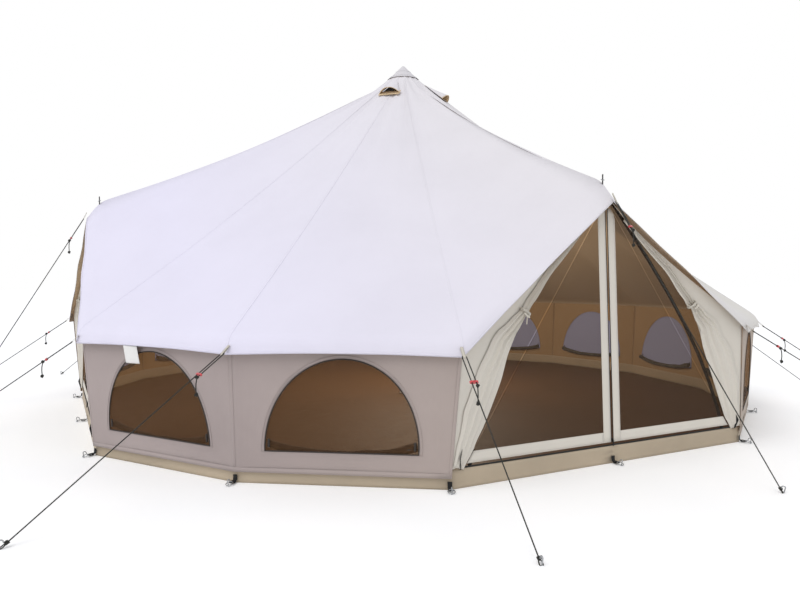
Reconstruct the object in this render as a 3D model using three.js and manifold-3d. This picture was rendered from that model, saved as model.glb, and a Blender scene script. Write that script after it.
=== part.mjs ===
// A round canvas bell tent on poles. One jointed centre pole lifts a sixteen-sided cone of canvas over a
// low wall with half-round windows. Two A-frame doorways stand at a right angle to each other, each with a
// pair of zipped mesh leaves and a pair of canvas leaves tied back along its slopes. Guy ropes with
// sliding runners hold out every eave corner and both awning tips.
//
// Frame: millimetres, +Z up, origin on the ground under the apex. The front doorway faces -Y and the side
// doorway faces -X. Azimuths are in degrees from -Y, growing towards +X.

import * as THREE from 'three';
import { mergeVertices } from 'three/addons/utils/BufferGeometryUtils.js';
import { ConvexGeometry } from 'three/addons/geometries/ConvexGeometry.js';
import Module from 'manifold-3d';

const wasm = await Module();
wasm.setup();

// ---- Plan ----
const DIVISIONS = 16;
const STEP = 360 / DIVISIONS;
const DOOR_CORNERS = [0, 12]; // the divisions' corners that are a doorway's middle
const FLOOR_RADIUS = 3000;
const GAP = 0.5; // between pieces that touch

// ---- Groundsheet ----
const FLOOR_THICKNESS = 4;
const TUB_HEIGHT = 105;
const TUB_THICKNESS = 4;

// ---- Walls and windows ----
const CANVAS = 3; // the plain solids' thickness of a canvas wall
const WALL_BOTTOM = 62;
const WALL_TOP = 788;
const WALL_STAND = 6; // from the tub to the wall that hangs outside it
const WALL_LEAN = 40; // how much further out the wall's top corner is than its bottom corner
const WALL_FOOT_RADIUS = FLOOR_RADIUS + TUB_THICKNESS + WALL_STAND;
const WINDOW_WIDTH = 830;
const WINDOW_SILL = 185;
const WINDOW_HEAD = 98; // from a window's top to the wall's
const WINDOW_HEIGHT = WALL_TOP - WINDOW_HEAD - WINDOW_SILL;
const SCREEN_THICKNESS = 2;
const SCREEN_STAND = 2; // from the wall's inside to the screen
const SCREEN_MARGIN = 30; // how far a screen reaches past its windows, above and below

// ---- Roof ----
const APEX_HEIGHT = 3128;
const COLLAR_RADIUS = 70;
const COLLAR_HEIGHT = APEX_HEIGHT - 73;
const SHOULDER_RADIUS = 310;
const SHOULDER_HEIGHT = APEX_HEIGHT - 283;
const ROOF_SAG = 55;
const SEAM_RADIUS = WALL_FOOT_RADIUS + WALL_LEAN + 16;
const SEAM_HEIGHT = WALL_TOP + 12;
const VALANCE_RADIUS = SEAM_RADIUS + 18;
const VALANCE_HEIGHT = SEAM_HEIGHT - 90;
// How the awnings draw the doorways' corners at the eave: degrees towards the doorway, and upwards.
const DRAWN_CORNERS = { 1: [-2.5, 50], 11: [1, 0], 13: [-1, 0], 15: [1, 0] };
const AWNING_DROOP = 70; // of the roof's seam between a doorway's peak and its corners
const CAP_HEM = 150; // the radius that the apex cap reaches down to
const CAP_THICKNESS = 4;
const CAP_LIFT = 7; // from the roof to the cap
const CAP_CROWN = 21; // the radius of the cap's flat crown

// ---- Vents ----
const VENT_CORNERS = [2, 6, 10, 14];
const VENT_TOP_RADIUS = 215;
const VENT_FOOT_RADIUS = 400;
const VENT_WIDTH = 190;
const VENT_STAND = 62; // how far a hood's mouth stands off the roof
const VENT_SINK = 14; // how far a hood's sewn edge reaches into the roof's cloth

// ---- Doorways, in the leaning plane of the door ----
const DOOR_LEAN = 0.051; // inward per unit of height
const CHORD = FLOOR_RADIUS * Math.cos(THREE.MathUtils.degToRad(STEP)); // from the axis to the sill
const HALF_CHORD = FLOOR_RADIUS * Math.sin(THREE.MathUtils.degToRad(STEP));
const LEG_SET_BACK = 24; // from the door's plane to the legs' middle line
const FRAME_PEAK_HEIGHT = 1705;
const ELBOW_HEIGHT = FRAME_PEAK_HEIGHT - 40;
const FRAME_PEAK_RADIUS = CHORD - DOOR_LEAN * ELBOW_HEIGHT - LEG_SET_BACK;
const AWNING_RADIUS = FRAME_PEAK_RADIUS + 93;
const AWNING_HEIGHT = FRAME_PEAK_HEIGHT - 132;
const SILL = TUB_HEIGHT + 10;
const JAMB = 93; // from a doorway's corner to the foot of its opening
const OPENING_HALF_WIDTH = HALF_CHORD - JAMB;
const OPENING_TOP = FRAME_PEAK_HEIGHT - 105;
const SURROUND_TOP = FRAME_PEAK_HEIGHT - 50;
const SURROUND_INSET = 4; // from the wall and the roof to the surround's edge
const LEAF_THICKNESS = 3;
const LEAF_GAP = 6; // from the middle line, for the zip
const HINGE_GAP = 8;
const LEAF_FOOT = SILL + 12;
const LEAF_TOP = OPENING_TOP - 60;
const TIED_STAND = 4; // from the surround to a tied canvas leaf

// ---- Poles ----
const POLE_RADIUS = 19;
const POLE_WALL = 1.7;
const SPIGOT_WALL = 1.8;
const SPIGOT_LENGTH = 80;
const SECTION = 1030;
const FOOT_RADIUS = 40;
const FOOT_THICKNESS = 8;
const PLUG_DROP = 26; // from the cap's top to the pole's head plug
const LEG_RADIUS = 11;
const LEG_WALL = 1.4;
const LEG_FOOT = [OPENING_HALF_WIDTH - 25, 12]; // in the door's plane, aside and up
const LEG_HEAD = [30, ELBOW_HEIGHT - 35];
const LEG_BOW = 148;
const ELBOW_WALL = 3;
const ELBOW_SOCKET = 75;
const SPIKE_RADIUS = 4;
const SPIKE_TOP = FRAME_PEAK_HEIGHT + 45;
const SPIKE_CLEARANCE = 3;

// ---- Guy ropes ----
const ROPE_RADIUS = 3;
const TURN_RADIUS = 12; // the rope's turn round its loop, and half the runner's hole spacing
const RUNNER_DISTANCE = 165;
const RUNNER_LENGTH = 10;
const RUNNER_WIDTH = 46;
const RUNNER_DEPTH = 15;
const RUNNER_CLEARANCE = 0.8;
const EAVE_STAND = 24; // from the valance's corner to the rope's turn
const EAVE_RISE = 12;
const TIP_STAND = 20;
const TAIL_STAND = 14; // from the runner to where its tail falls away
const TAIL = [[10, 95], [11, 57], [11, 26], [7, 10]]; // the hanging tail, down the rope and down, end first
const PEG_REACH = 1050; // level distance from an eave corner to its peg
const ROPE_END_HEIGHT = 16;

const tent = new THREE.Group();

// ---- Materials ----
const finish = (color, roughness, metalness = 0) => () =>
  new THREE.MeshStandardMaterial({ color, roughness, metalness });
const roofCanvas = finish(0xe9e7ea, 0.9);
const wallCanvas = finish(0xb9ab9c, 0.92);
const doorCanvas = finish(0xcfc8bb, 0.92);
const insectMesh = finish(0x4a3527, 0.85);
const groundFabric = finish(0x8a7560, 0.75);
const steel = finish(0x8d9092, 0.4, 0.9);
const darkTube = finish(0x2c2a29, 0.5, 0.3);
const ropeFibre = finish(0x34342f, 0.9);
const runnerPlastic = finish(0xd03a3a, 0.35);
const zipMetal = finish(0x1b1a19, 0.45, 0.4);

// ---- Geometry helpers ----
const vec = (x, y, z) => new THREE.Vector3(x, y, z);

function polar(azimuth, radius, z) {
  const a = THREE.MathUtils.degToRad(azimuth);
  return vec(radius * Math.sin(a), -radius * Math.cos(a), z);
}

const mix = (a, b, t) => a.clone().lerp(b, t);

function solid(geometry) {
  const bare = geometry.index ? geometry.toNonIndexed() : geometry.clone();
  bare.deleteAttribute('normal');
  bare.deleteAttribute('uv');
  const merged = mergeVertices(bare, 1e-3);
  return new wasm.Manifold(new wasm.Mesh({
    numProp: 3,
    vertProperties: new Float32Array(merged.attributes.position.array),
    triVerts: new Uint32Array(merged.index.array),
  }));
}

function geometryOf(manifold) {
  const mesh = manifold.getMesh();
  const geometry = new THREE.BufferGeometry();
  geometry.setAttribute('position', new THREE.BufferAttribute(mesh.vertProperties, 3));
  geometry.setIndex(new THREE.BufferAttribute(mesh.triVerts, 1));
  geometry.computeVertexNormals();
  return geometry;
}

// A thin closed solid behind a grid of points. Rows and columns turn so that columns x rows faces out.
function sheet(rows, thickness, closed = false) {
  const high = rows.length;
  const wide = rows[0].length;
  const column = (j) => (closed ? (j + wide) % wide : THREE.MathUtils.clamp(j, 0, wide - 1));
  const row = (i) => THREE.MathUtils.clamp(i, 0, high - 1);
  const positions = [];
  for (const depth of [0, thickness]) {
    for (let i = 0; i < high; i += 1) {
      for (let j = 0; j < wide; j += 1) {
        const across = rows[i][column(j + 1)].clone().sub(rows[i][column(j - 1)]);
        const along = rows[row(i + 1)][j].clone().sub(rows[row(i - 1)][j]);
        const normal = across.cross(along).normalize();
        positions.push(...rows[i][j].clone().addScaledVector(normal, -depth).toArray());
      }
    }
  }
  const outer = (i, j) => i * wide + column(j);
  const inner = (i, j) => high * wide + outer(i, j);
  const index = [];
  const quad = (a, b, c, d) => index.push(a, b, c, a, c, d);
  const cells = closed ? wide : wide - 1;
  for (let j = 0; j < cells; j += 1) {
    for (let i = 0; i < high - 1; i += 1) {
      quad(outer(i, j), outer(i, j + 1), outer(i + 1, j + 1), outer(i + 1, j));
      index.push(inner(i, j), inner(i + 1, j + 1), inner(i, j + 1));
      index.push(inner(i, j), inner(i + 1, j), inner(i + 1, j + 1));
    }
    quad(outer(0, j + 1), outer(0, j), inner(0, j), inner(0, j + 1));
    const top = high - 1;
    quad(outer(top, j), outer(top, j + 1), inner(top, j + 1), inner(top, j));
  }
  if (!closed) {
    const last = wide - 1;
    for (let i = 0; i < high - 1; i += 1) {
      quad(outer(i, 0), outer(i + 1, 0), inner(i + 1, 0), inner(i, 0));
      quad(outer(i + 1, last), outer(i, last), inner(i, last), inner(i + 1, last));
    }
  }
  const geometry = new THREE.BufferGeometry();
  geometry.setAttribute('position', new THREE.Float32BufferAttribute(positions, 3));
  geometry.setIndex(index);
  geometry.computeVertexNormals();
  return geometry;
}

// A closed solid through rings of equally many points, each ring turning about the way it travels.
function loft(rings) {
  const sides = rings[0].length;
  const index = [];
  for (let i = 0; i < rings.length - 1; i += 1) {
    for (let j = 0; j < sides; j += 1) {
      const a = i * sides + j;
      const b = i * sides + ((j + 1) % sides);
      index.push(a, b, b + sides, a, b + sides, a + sides);
    }
  }
  const last = (rings.length - 1) * sides;
  for (let j = 1; j < sides - 1; j += 1) {
    index.push(0, j + 1, j);
    index.push(last, last + j, last + j + 1);
  }
  const geometry = new THREE.BufferGeometry();
  const positions = rings.flat().flatMap((point) => point.toArray());
  geometry.setAttribute('position', new THREE.Float32BufferAttribute(positions, 3));
  geometry.setIndex(index);
  geometry.computeVertexNormals();
  return geometry;
}

// A profile of [radius, height] pairs turned about the Z axis.
function turned(profile, sides = 16) {
  const points = profile.map(([radius, height]) => new THREE.Vector2(radius, height));
  return new THREE.LatheGeometry(points, sides).rotateX(Math.PI / 2);
}

// A path that an extrusion steps along point by point.
class StationPath extends THREE.CatmullRomCurve3 {
  getUtoTmapping(u) {
    return u;
  }
}

function disc(radius, bore = 0) {
  const shape = new THREE.Shape().absarc(0, 0, radius, 0, 2 * Math.PI);
  if (bore > 0) shape.holes.push(new THREE.Path().absarc(0, 0, bore, 0, 2 * Math.PI, true));
  return shape;
}

function tube(points, radius, bore, sides) {
  return new THREE.ExtrudeGeometry(disc(radius, bore), {
    extrudePath: new StationPath(points),
    steps: points.length - 1,
    curveSegments: sides / 2,
    bevelEnabled: false,
  });
}

function add(name, geometry, material, parent = tent) {
  const mesh = new THREE.Mesh(geometry, material());
  mesh.name = name;
  parent.add(mesh);
  return mesh;
}

// ---- Plan helpers ----
const wrap = (k) => ((k % DIVISIONS) + DIVISIONS) % DIVISIONS;
const isDoorMiddle = (k) => DOOR_CORNERS.includes(wrap(k));
const cornerAzimuth = (k) => k * STEP;

const drawn = (k) => DRAWN_CORNERS[wrap(k)] ?? [0, 0];
const eaveAzimuth = (k) => cornerAzimuth(k) + drawn(k)[0];
const eaveRise = (k) => drawn(k)[1];

// ---- Groundsheet: a flat floor with a low tub wall ----
function floorOutline(inset) {
  const corners = Array.from({ length: DIVISIONS }, (_, k) => k).filter((k) => !isDoorMiddle(k));
  return new THREE.Shape(corners.map((k) => {
    const corner = polar(cornerAzimuth(k), FLOOR_RADIUS - inset, 0);
    return new THREE.Vector2(corner.x, corner.y);
  }));
}

function groundsheet() {
  const block = new THREE.ExtrudeGeometry(floorOutline(0), { depth: TUB_HEIGHT, bevelEnabled: false });
  const hollow = new THREE.ExtrudeGeometry(floorOutline(TUB_THICKNESS), {
    depth: TUB_HEIGHT,
    bevelEnabled: false,
  }).translate(0, 0, FLOOR_THICKNESS);
  add('groundsheet', geometryOf(solid(block).subtract(solid(hollow))), groundFabric);
}

// ---- Walls: runs of panels with a half-round window in each ----
function wallRadius(z) {
  return WALL_FOOT_RADIUS + (WALL_LEAN * (z - WALL_BOTTOM)) / (WALL_TOP - WALL_BOTTOM);
}

// A point up the wall's corner line k, which is drawn aside and up towards its top.
function wallCorner(k, z, inset = 0) {
  const t = (z - WALL_BOTTOM) / (WALL_TOP - WALL_BOTTOM);
  const azimuth = THREE.MathUtils.lerp(cornerAzimuth(k), eaveAzimuth(k), t);
  return polar(azimuth, wallRadius(z) - inset, z + t * eaveRise(k));
}

function wallRow(first, last, z, inset) {
  return Array.from({ length: last - first + 1 }, (_, i) => wallCorner(first + i, z, inset));
}

// The frame of the wall panel between corners k and k + 1: x along it, y up it, z out of it.
function panelFrame(k) {
  const left = wallCorner(k, WINDOW_SILL);
  const right = wallCorner(k + 1, WINDOW_SILL);
  const above = mix(wallCorner(k, WALL_TOP), wallCorner(k + 1, WALL_TOP), 0.5);
  const sill = mix(left, right, 0.5);
  const across = right.clone().sub(left).normalize();
  const up = above.sub(sill).normalize();
  const out = across.clone().cross(up);
  return new THREE.Matrix4().makeBasis(across, up, out).setPosition(sill);
}

function windowCutter(k) {
  const depth = 2 * (CANVAS + WALL_LEAN);
  const shape = new THREE.Shape();
  shape.absellipse(0, 0, WINDOW_WIDTH / 2, WINDOW_HEIGHT, 0, Math.PI);
  shape.closePath();
  return new THREE.ExtrudeGeometry(shape, { depth, curveSegments: 8, bevelEnabled: false })
    .translate(0, 0, -depth / 2)
    .applyMatrix4(panelFrame(k));
}

function wallRun(name, first, last) {
  const rows = [WALL_BOTTOM, WALL_TOP].map((z) => wallRow(first, last, z, 0));
  let wall = solid(sheet(rows, CANVAS));
  for (let k = first; k < last; k += 1) wall = wall.subtract(solid(windowCutter(k)));
  add(`wall_${name}`, geometryOf(wall), wallCanvas);
  const behind = CANVAS + SCREEN_STAND;
  const heights = [WINDOW_SILL - SCREEN_MARGIN, WINDOW_SILL + WINDOW_HEIGHT + SCREEN_MARGIN];
  const screen = heights.map((z) => wallRow(first, last, z, behind));
  add(`window_mesh_${name}`, sheet(screen, SCREEN_THICKNESS), insectMesh);
}

// ---- Roof: a cone of canvas from the collar to the valance, with the two awnings and four vent hoods ----
// A corner line of the roof, from the valance's edge (0) and the wall seam (1) to the collar (last).
const ROOF_LEVELS = [1, 0.75, 0.5, 0.25, 0];

function roofLine(k) {
  const door = isDoorMiddle(k);
  const azimuth = cornerAzimuth(k);
  const seam = door
    ? polar(azimuth, FRAME_PEAK_RADIUS, FRAME_PEAK_HEIGHT)
    : polar(eaveAzimuth(k), SEAM_RADIUS, SEAM_HEIGHT + eaveRise(k));
  const edge = door
    ? polar(azimuth, AWNING_RADIUS, AWNING_HEIGHT)
    : polar(eaveAzimuth(k), VALANCE_RADIUS, VALANCE_HEIGHT + eaveRise(k));
  const shoulder = polar(azimuth, SHOULDER_RADIUS, SHOULDER_HEIGHT);
  const slope = ROOF_LEVELS.map((t) => {
    const point = mix(shoulder, seam, t);
    point.z -= ROOF_SAG * 4 * t * (1 - t);
    return point;
  });
  return [edge, ...slope, polar(azimuth, COLLAR_RADIUS, COLLAR_HEIGHT)];
}

function roofRows() {
  const lines = [];
  for (let k = 0; k < DIVISIONS; k += 1) {
    const here = roofLine(k);
    const next = roofLine(k + 1);
    const droop = isDoorMiddle(k) || isDoorMiddle(k + 1) ? AWNING_DROOP : 0;
    lines.push(here, here.map((point, i) => {
      const slack = droop * (i === 0 ? 0 : (ROOF_LEVELS[i - 1] ?? 0) ** 4);
      return mix(point, next[i], 0.5).sub(vec(0, 0, slack));
    }));
  }
  return lines[0].map((_, i) => lines.map((line) => line[i]));
}

function ventHood(k) {
  const azimuth = cornerAzimuth(k);
  const onRoof = (radius, lift) => {
    const t = (radius - SHOULDER_RADIUS) / (SEAM_RADIUS - SHOULDER_RADIUS);
    const z = t < 0
      ? THREE.MathUtils.mapLinear(radius, COLLAR_RADIUS, SHOULDER_RADIUS, COLLAR_HEIGHT, SHOULDER_HEIGHT)
      : SHOULDER_HEIGHT + t * (SEAM_HEIGHT - SHOULDER_HEIGHT);
    return polar(azimuth, radius, z + lift);
  };
  const aside = polar(azimuth + 90, VENT_WIDTH / 2, 0);
  const foot = onRoof(VENT_FOOT_RADIUS, -VENT_SINK);
  const mouth = onRoof(VENT_FOOT_RADIUS, VENT_STAND);
  const cheek = mix(mouth, foot, 0.6);
  const cheekWidth = aside.clone().multiplyScalar(0.9);
  return new ConvexGeometry([
    onRoof(VENT_TOP_RADIUS, CANVAS),
    onRoof(VENT_TOP_RADIUS, -VENT_SINK),
    mouth,
    foot,
    foot.clone().add(aside),
    foot.clone().sub(aside),
    cheek.clone().add(cheekWidth),
    cheek.clone().sub(cheekWidth),
  ]);
}

function spikeHole(k) {
  const radius = SPIKE_RADIUS + SPIKE_CLEARANCE;
  const reach = vec(0, 0, SPIKE_TOP - ELBOW_HEIGHT);
  const place = polar(cornerAzimuth(k), FRAME_PEAK_RADIUS, FRAME_PEAK_HEIGHT);
  return cylinderBetween(place.clone().sub(reach), place.clone().add(reach), radius);
}

function roof() {
  let canopy = solid(sheet(roofRows(), CANVAS, true));
  for (const k of VENT_CORNERS) canopy = canopy.add(solid(ventHood(k)));
  for (const k of DOOR_CORNERS) canopy = canopy.subtract(solid(spikeHole(k)));
  add('roof_canopy', geometryOf(canopy), roofCanvas);
  add('apex_cap', apexCap(), roofCanvas);
}

// The reinforced cone that is sewn over the collar and takes the pole's head.
function apexCap() {
  const slope = (COLLAR_HEIGHT - SHOULDER_HEIGHT) / (SHOULDER_RADIUS - COLLAR_RADIUS);
  const brow = COLLAR_HEIGHT + CAP_LIFT + CAP_THICKNESS;
  const hem = brow - slope * (CAP_HEM - COLLAR_RADIUS) + 2;
  const crown = APEX_HEIGHT - PLUG_DROP + CAP_THICKNESS;
  return turned([
    [0, crown],
    [CAP_CROWN, crown],
    [COLLAR_RADIUS, brow - CAP_THICKNESS],
    [CAP_HEM, hem - CAP_THICKNESS],
    [CAP_HEM, hem],
    [COLLAR_RADIUS, brow],
    [CAP_CROWN, APEX_HEIGHT - 3 * CAP_THICKNESS],
    [0, APEX_HEIGHT],
  ], 2 * DIVISIONS);
}

// ---- Centre pole: three swaged tubes ----
function centrePole() {
  const bore = POLE_RADIUS - POLE_WALL;
  const spigot = bore - 0.3;
  const spigotBore = spigot - SPIGOT_WALL;
  const neck = 5;
  const plugThickness = 24;
  const swage = (top) => [
    [POLE_RADIUS, top],
    [spigot, top],
    [spigot, top + SPIGOT_LENGTH],
    [spigotBore, top + SPIGOT_LENGTH],
    [spigotBore, top - neck],
    [bore, top - neck],
  ];
  const start = FLOOR_THICKNESS + GAP;
  const first = start + SECTION;
  const second = first + GAP + SECTION;
  const plug = APEX_HEIGHT - PLUG_DROP;
  const footTop = start + 2 * FOOT_THICKNESS;
  add('centre_pole_lower', turned([
    [0, start],
    [FOOT_RADIUS, start],
    [FOOT_RADIUS, start + FOOT_THICKNESS],
    [POLE_RADIUS, footTop],
    ...swage(first),
    [bore, footTop],
    [0, footTop],
  ]), steel);
  add('centre_pole_middle', turned([
    [bore, first + GAP],
    [POLE_RADIUS, first + GAP],
    ...swage(second),
    [bore, first + GAP],
  ]), steel);
  add('centre_pole_upper', turned([
    [0, plug - plugThickness],
    [bore, plug - plugThickness],
    [bore, second + GAP],
    [POLE_RADIUS, second + GAP],
    [POLE_RADIUS, plug - 0.75 * plugThickness],
    [0.65 * POLE_RADIUS, plug - 4],
    [0, plug],
  ]), steel);
}

// ---- Doorways, built facing -Y and turned into place ----
// A point of the door's leaning plane, n outside it.
const inDoor = (x, z, n = 0) => vec(x, -(CHORD - DOOR_LEAN * z) - n, z);

// The straight line that a mesh leaf hinges on, from its foot (0) to its top (1), on the right-hand side.
const hingeLine = (s) => inDoor(OPENING_HALF_WIDTH * (1 - s), SILL + (OPENING_TOP - SILL) * s);
const WING_LEVEL = (WALL_TOP - SILL) / (OPENING_TOP - SILL);

const mirrored = (point) => vec(-point.x, point.y, point.z);

// A jamb is one side of the doorway whose middle is corner k. Its points are on the right-hand side.
// Its edge goes up the corner seam, then along the drooping roof to the peak.
function jambEdge({ k, side }, s) {
  const inset = SURROUND_INSET;
  const top = WALL_TOP - inset;
  const seam = (z) => {
    const corner = wallCorner(k + side, z, inset)
      .applyAxisAngle(vec(0, 0, 1), -THREE.MathUtils.degToRad(cornerAzimuth(k)));
    return vec(side * corner.x - inset, corner.y, corner.z);
  };
  if (s <= WING_LEVEL) return seam(THREE.MathUtils.mapLinear(s, 0, WING_LEVEL, SILL - 5, top));
  const t = (s - WING_LEVEL) / (1 - WING_LEVEL);
  const droop = AWNING_DROOP * (1 - Math.abs(2 * t - 1));
  return mix(seam(top), inDoor(0, SURROUND_TOP), t).sub(vec(0, 0, droop));
}

const surroundPoint = (jamb, s, f) => mix(hingeLine(s), jambEdge(jamb, s), f);

function doorSurround(k) {
  const below = [0, 0.33, 0.67, 1].map((t) => WING_LEVEL * t);
  const above = [0.25, 0.5, 0.75, 1].map((t) => THREE.MathUtils.lerp(WING_LEVEL, 1, t));
  const stations = [...below, ...above];
  const rows = [0, 0.5, 1].map((f) => {
    const right = stations.map((s) => surroundPoint({ k, side: 1 }, s, f));
    const left = stations.slice(0, -1).map((s) => mirrored(surroundPoint({ k, side: -1 }, s, f)));
    return [...left, ...right.reverse()];
  });
  return sheet(rows, CANVAS);
}

// A plate of the door's plane: an outline of [x, z] points between two distances outside the plane.
function doorPlate(outline, n0, n1) {
  const shape = new THREE.Shape(outline.map(([x, z]) => new THREE.Vector2(x, z)));
  const geometry = new THREE.ExtrudeGeometry(shape, { depth: n1 - n0, bevelEnabled: false });
  const place = geometry.attributes.position;
  for (let i = 0; i < place.count; i += 1) {
    const point = inDoor(place.getX(i), place.getY(i), n0 + place.getZ(i));
    place.setXYZ(i, point.x, point.y, point.z);
  }
  geometry.computeVertexNormals();
  return geometry;
}

function meshLeaf(side) {
  const hingeX = (z) => hingeLine((z - SILL) / (OPENING_TOP - SILL)).x - HINGE_GAP;
  const outline = [
    [LEAF_GAP, LEAF_FOOT],
    [hingeX(LEAF_FOOT), LEAF_FOOT],
    [hingeX(LEAF_TOP), LEAF_TOP],
    [LEAF_GAP, LEAF_TOP],
  ].map(([x, z]) => [side * x, z]);
  return doorPlate(outline, -LEAF_THICKNESS / 2, LEAF_THICKNESS / 2);
}

// A canvas leaf gathered along the doorway's slope. Stations: up the hinge line, out across the
// surround, half width, half depth.
const GATHERS = [
  [0.02, 0.5, 32, 12],
  [0.15, 0.46, 60, 18],
  [0.33, 0.4, 62, 20],
  [0.54, 0.46, 24, 22],
  [0.75, 0.48, 24, 16],
  [0.92, 0.52, 13, 9],
];

function canvasLeaf(jamb) {
  const sides = 8;
  const rings = GATHERS.map(([s, f, width, depth], i) => {
    const seat = surroundPoint(jamb, s, f);
    const [before] = GATHERS[Math.max(i - 1, 0)];
    const [after] = GATHERS[Math.min(i + 1, GATHERS.length - 1)];
    const along = surroundPoint(jamb, after, f).sub(surroundPoint(jamb, before, f)).normalize();
    const outer = jambEdge(jamb, s).sub(hingeLine(s));
    const out = outer.cross(along).normalize();
    const across = out.clone().cross(along).normalize();
    return Array.from({ length: sides }, (_, j) => {
      const a = (2 * Math.PI * j) / sides;
      return seat.clone()
        .addScaledVector(across, width * Math.cos(a))
        .addScaledVector(out, depth + TIED_STAND + depth * Math.sin(a));
    });
  });
  if (jamb.side > 0) return loft(rings);
  return loft(rings.map((ring) => ring.map(mirrored).reverse()));
}

// The A-frame's leg: a bow from its foot to its head, fullest a little below half way.
function legPath(side) {
  const steps = 8;
  return Array.from({ length: steps + 1 }, (_, i) => {
    const t = i / steps;
    const x = THREE.MathUtils.lerp(LEG_FOOT[0], LEG_HEAD[0], t) + LEG_BOW * Math.sin(Math.PI * t ** 0.85);
    return inDoor(side * x, THREE.MathUtils.lerp(LEG_FOOT[1], LEG_HEAD[1], t), -LEG_SET_BACK);
  });
}

function legTube(side) {
  return tube(legPath(side), LEG_RADIUS, LEG_RADIUS - LEG_WALL, 10);
}

function cylinderBetween(from, to, radius, sides = 12) {
  const along = to.clone().sub(from);
  const turn = new THREE.Quaternion().setFromUnitVectors(vec(0, 1, 0), along.clone().normalize());
  return new THREE.CylinderGeometry(radius, radius, along.length(), sides)
    .applyQuaternion(turn)
    .translate(...mix(from, to, 0.5).toArray());
}

// The fitting that joins two legs, with the spike that the roof's grommet drops over.
function elbow() {
  const bore = LEG_RADIUS + GAP;
  const peak = inDoor(0, ELBOW_HEIGHT, -LEG_SET_BACK);
  const spikeTop = peak.clone().setZ(SPIKE_TOP);
  let fitting = solid(new THREE.IcosahedronGeometry(bore + ELBOW_WALL, 1).translate(...peak.toArray()));
  fitting = fitting.add(solid(cylinderBetween(peak, spikeTop, SPIKE_RADIUS)));
  const bores = [];
  for (const side of [-1, 1]) {
    const path = legPath(side);
    const mouth = path[path.length - 1];
    const along = path[path.length - 2].clone().sub(mouth).normalize();
    const end = mouth.clone().addScaledVector(along, ELBOW_SOCKET);
    const seat = mouth.clone().addScaledVector(along, -GAP);
    fitting = fitting.add(solid(cylinderBetween(peak, end, bore + ELBOW_WALL)));
    bores.push(solid(cylinderBetween(seat, end.clone().addScaledVector(along, 5), bore + 1)));
  }
  for (const hole of bores) fitting = fitting.subtract(hole);
  return geometryOf(fitting);
}

function zipSlider() {
  const half = LEAF_GAP - 1.5;
  const foot = LEAF_FOOT + 2;
  const top = foot + 22;
  const bevel = 2;
  const shape = [
    [-half, foot + bevel],
    [-half + bevel, foot],
    [half - bevel, foot],
    [half, foot + bevel],
    [half, top],
    [-half, top],
  ];
  return doorPlate(shape, -4, 6);
}

function doorway(name, k) {
  const door = new THREE.Group();
  door.rotation.z = THREE.MathUtils.degToRad(cornerAzimuth(k));
  tent.add(door);
  add(`${name}_door_surround`, doorSurround(k), doorCanvas, door);
  for (const [hand, side] of [['left', -1], ['right', 1]]) {
    add(`${name}_mesh_leaf_${hand}`, meshLeaf(side), insectMesh, door);
    add(`${name}_canvas_leaf_${hand}`, canvasLeaf({ k, side }), doorCanvas, door);
    add(`${name}_frame_leg_${hand}`, legTube(side), darkTube, door);
  }
  add(`${name}_frame_elbow`, elbow(), darkTube, door);
  add(`${name}_zip_slider`, zipSlider(), zipMetal, door);
}

// ---- Guy ropes ----
// Pegs that don't stand straight out from their corner: degrees off its azimuth, and level distance
// past the floor's corners.
const PEGS = {
  0: [6, 620],
  1: [4.3, 1213],
  11: [4.1, 1120],
  12: [0.9, 710],
  13: [-7.4, 1039],
  14: [-5.9, 1123],
  15: [3.3, 960],
};

function guyLine(k) {
  const door = isDoorMiddle(k);
  const radius = door ? AWNING_RADIUS + TIP_STAND : VALANCE_RADIUS + EAVE_STAND;
  const height = door ? AWNING_HEIGHT : VALANCE_HEIGHT + eaveRise(k) + EAVE_RISE;
  const start = polar(eaveAzimuth(k), radius, height);
  if (!PEGS[k]) return [start, polar(eaveAzimuth(k), radius + PEG_REACH, 0)];
  const [aside, reach] = PEGS[k];
  return [start, polar(cornerAzimuth(k) + aside, FLOOR_RADIUS + reach, 0)];
}

// A rope's frame: down the rope, across it and level, and square to both.
function guyFrame(k) {
  const [start, peg] = guyLine(k);
  const along = peg.clone().sub(start).normalize();
  const across = along.clone().cross(vec(0, 0, 1)).normalize();
  const turn = start.clone().addScaledVector(along, TURN_RADIUS);
  return { along, across, turn, square: along.clone().cross(across) };
}

// From the tail's end up through the runner, round the eave's loop and down to the peg.
function ropePoints(k) {
  const { turn, along, across } = guyFrame(k);
  const at = (down, aside, fall = 0) =>
    turn.clone().addScaledVector(along, down).addScaledVector(across, aside).add(vec(0, 0, -fall));
  const below = RUNNER_DISTANCE + RUNNER_LENGTH / 2 + TAIL_STAND;
  const points = TAIL.map(([down, fall]) => at(below + down, -TURN_RADIUS, fall));
  points.push(at(below, -TURN_RADIUS), at(below / 2, -TURN_RADIUS));
  const arc = 6;
  for (let i = 0; i <= arc; i += 1) {
    const a = -Math.PI / 2 + (Math.PI * i) / arc;
    points.push(at(-TURN_RADIUS * Math.cos(a), TURN_RADIUS * Math.sin(a)));
  }
  const full = (turn.z - ROPE_END_HEIGHT) / -along.z;
  for (const share of [0.15, 0.4, 0.7, 1]) points.push(at(full * share, TURN_RADIUS));
  return points;
}

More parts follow.
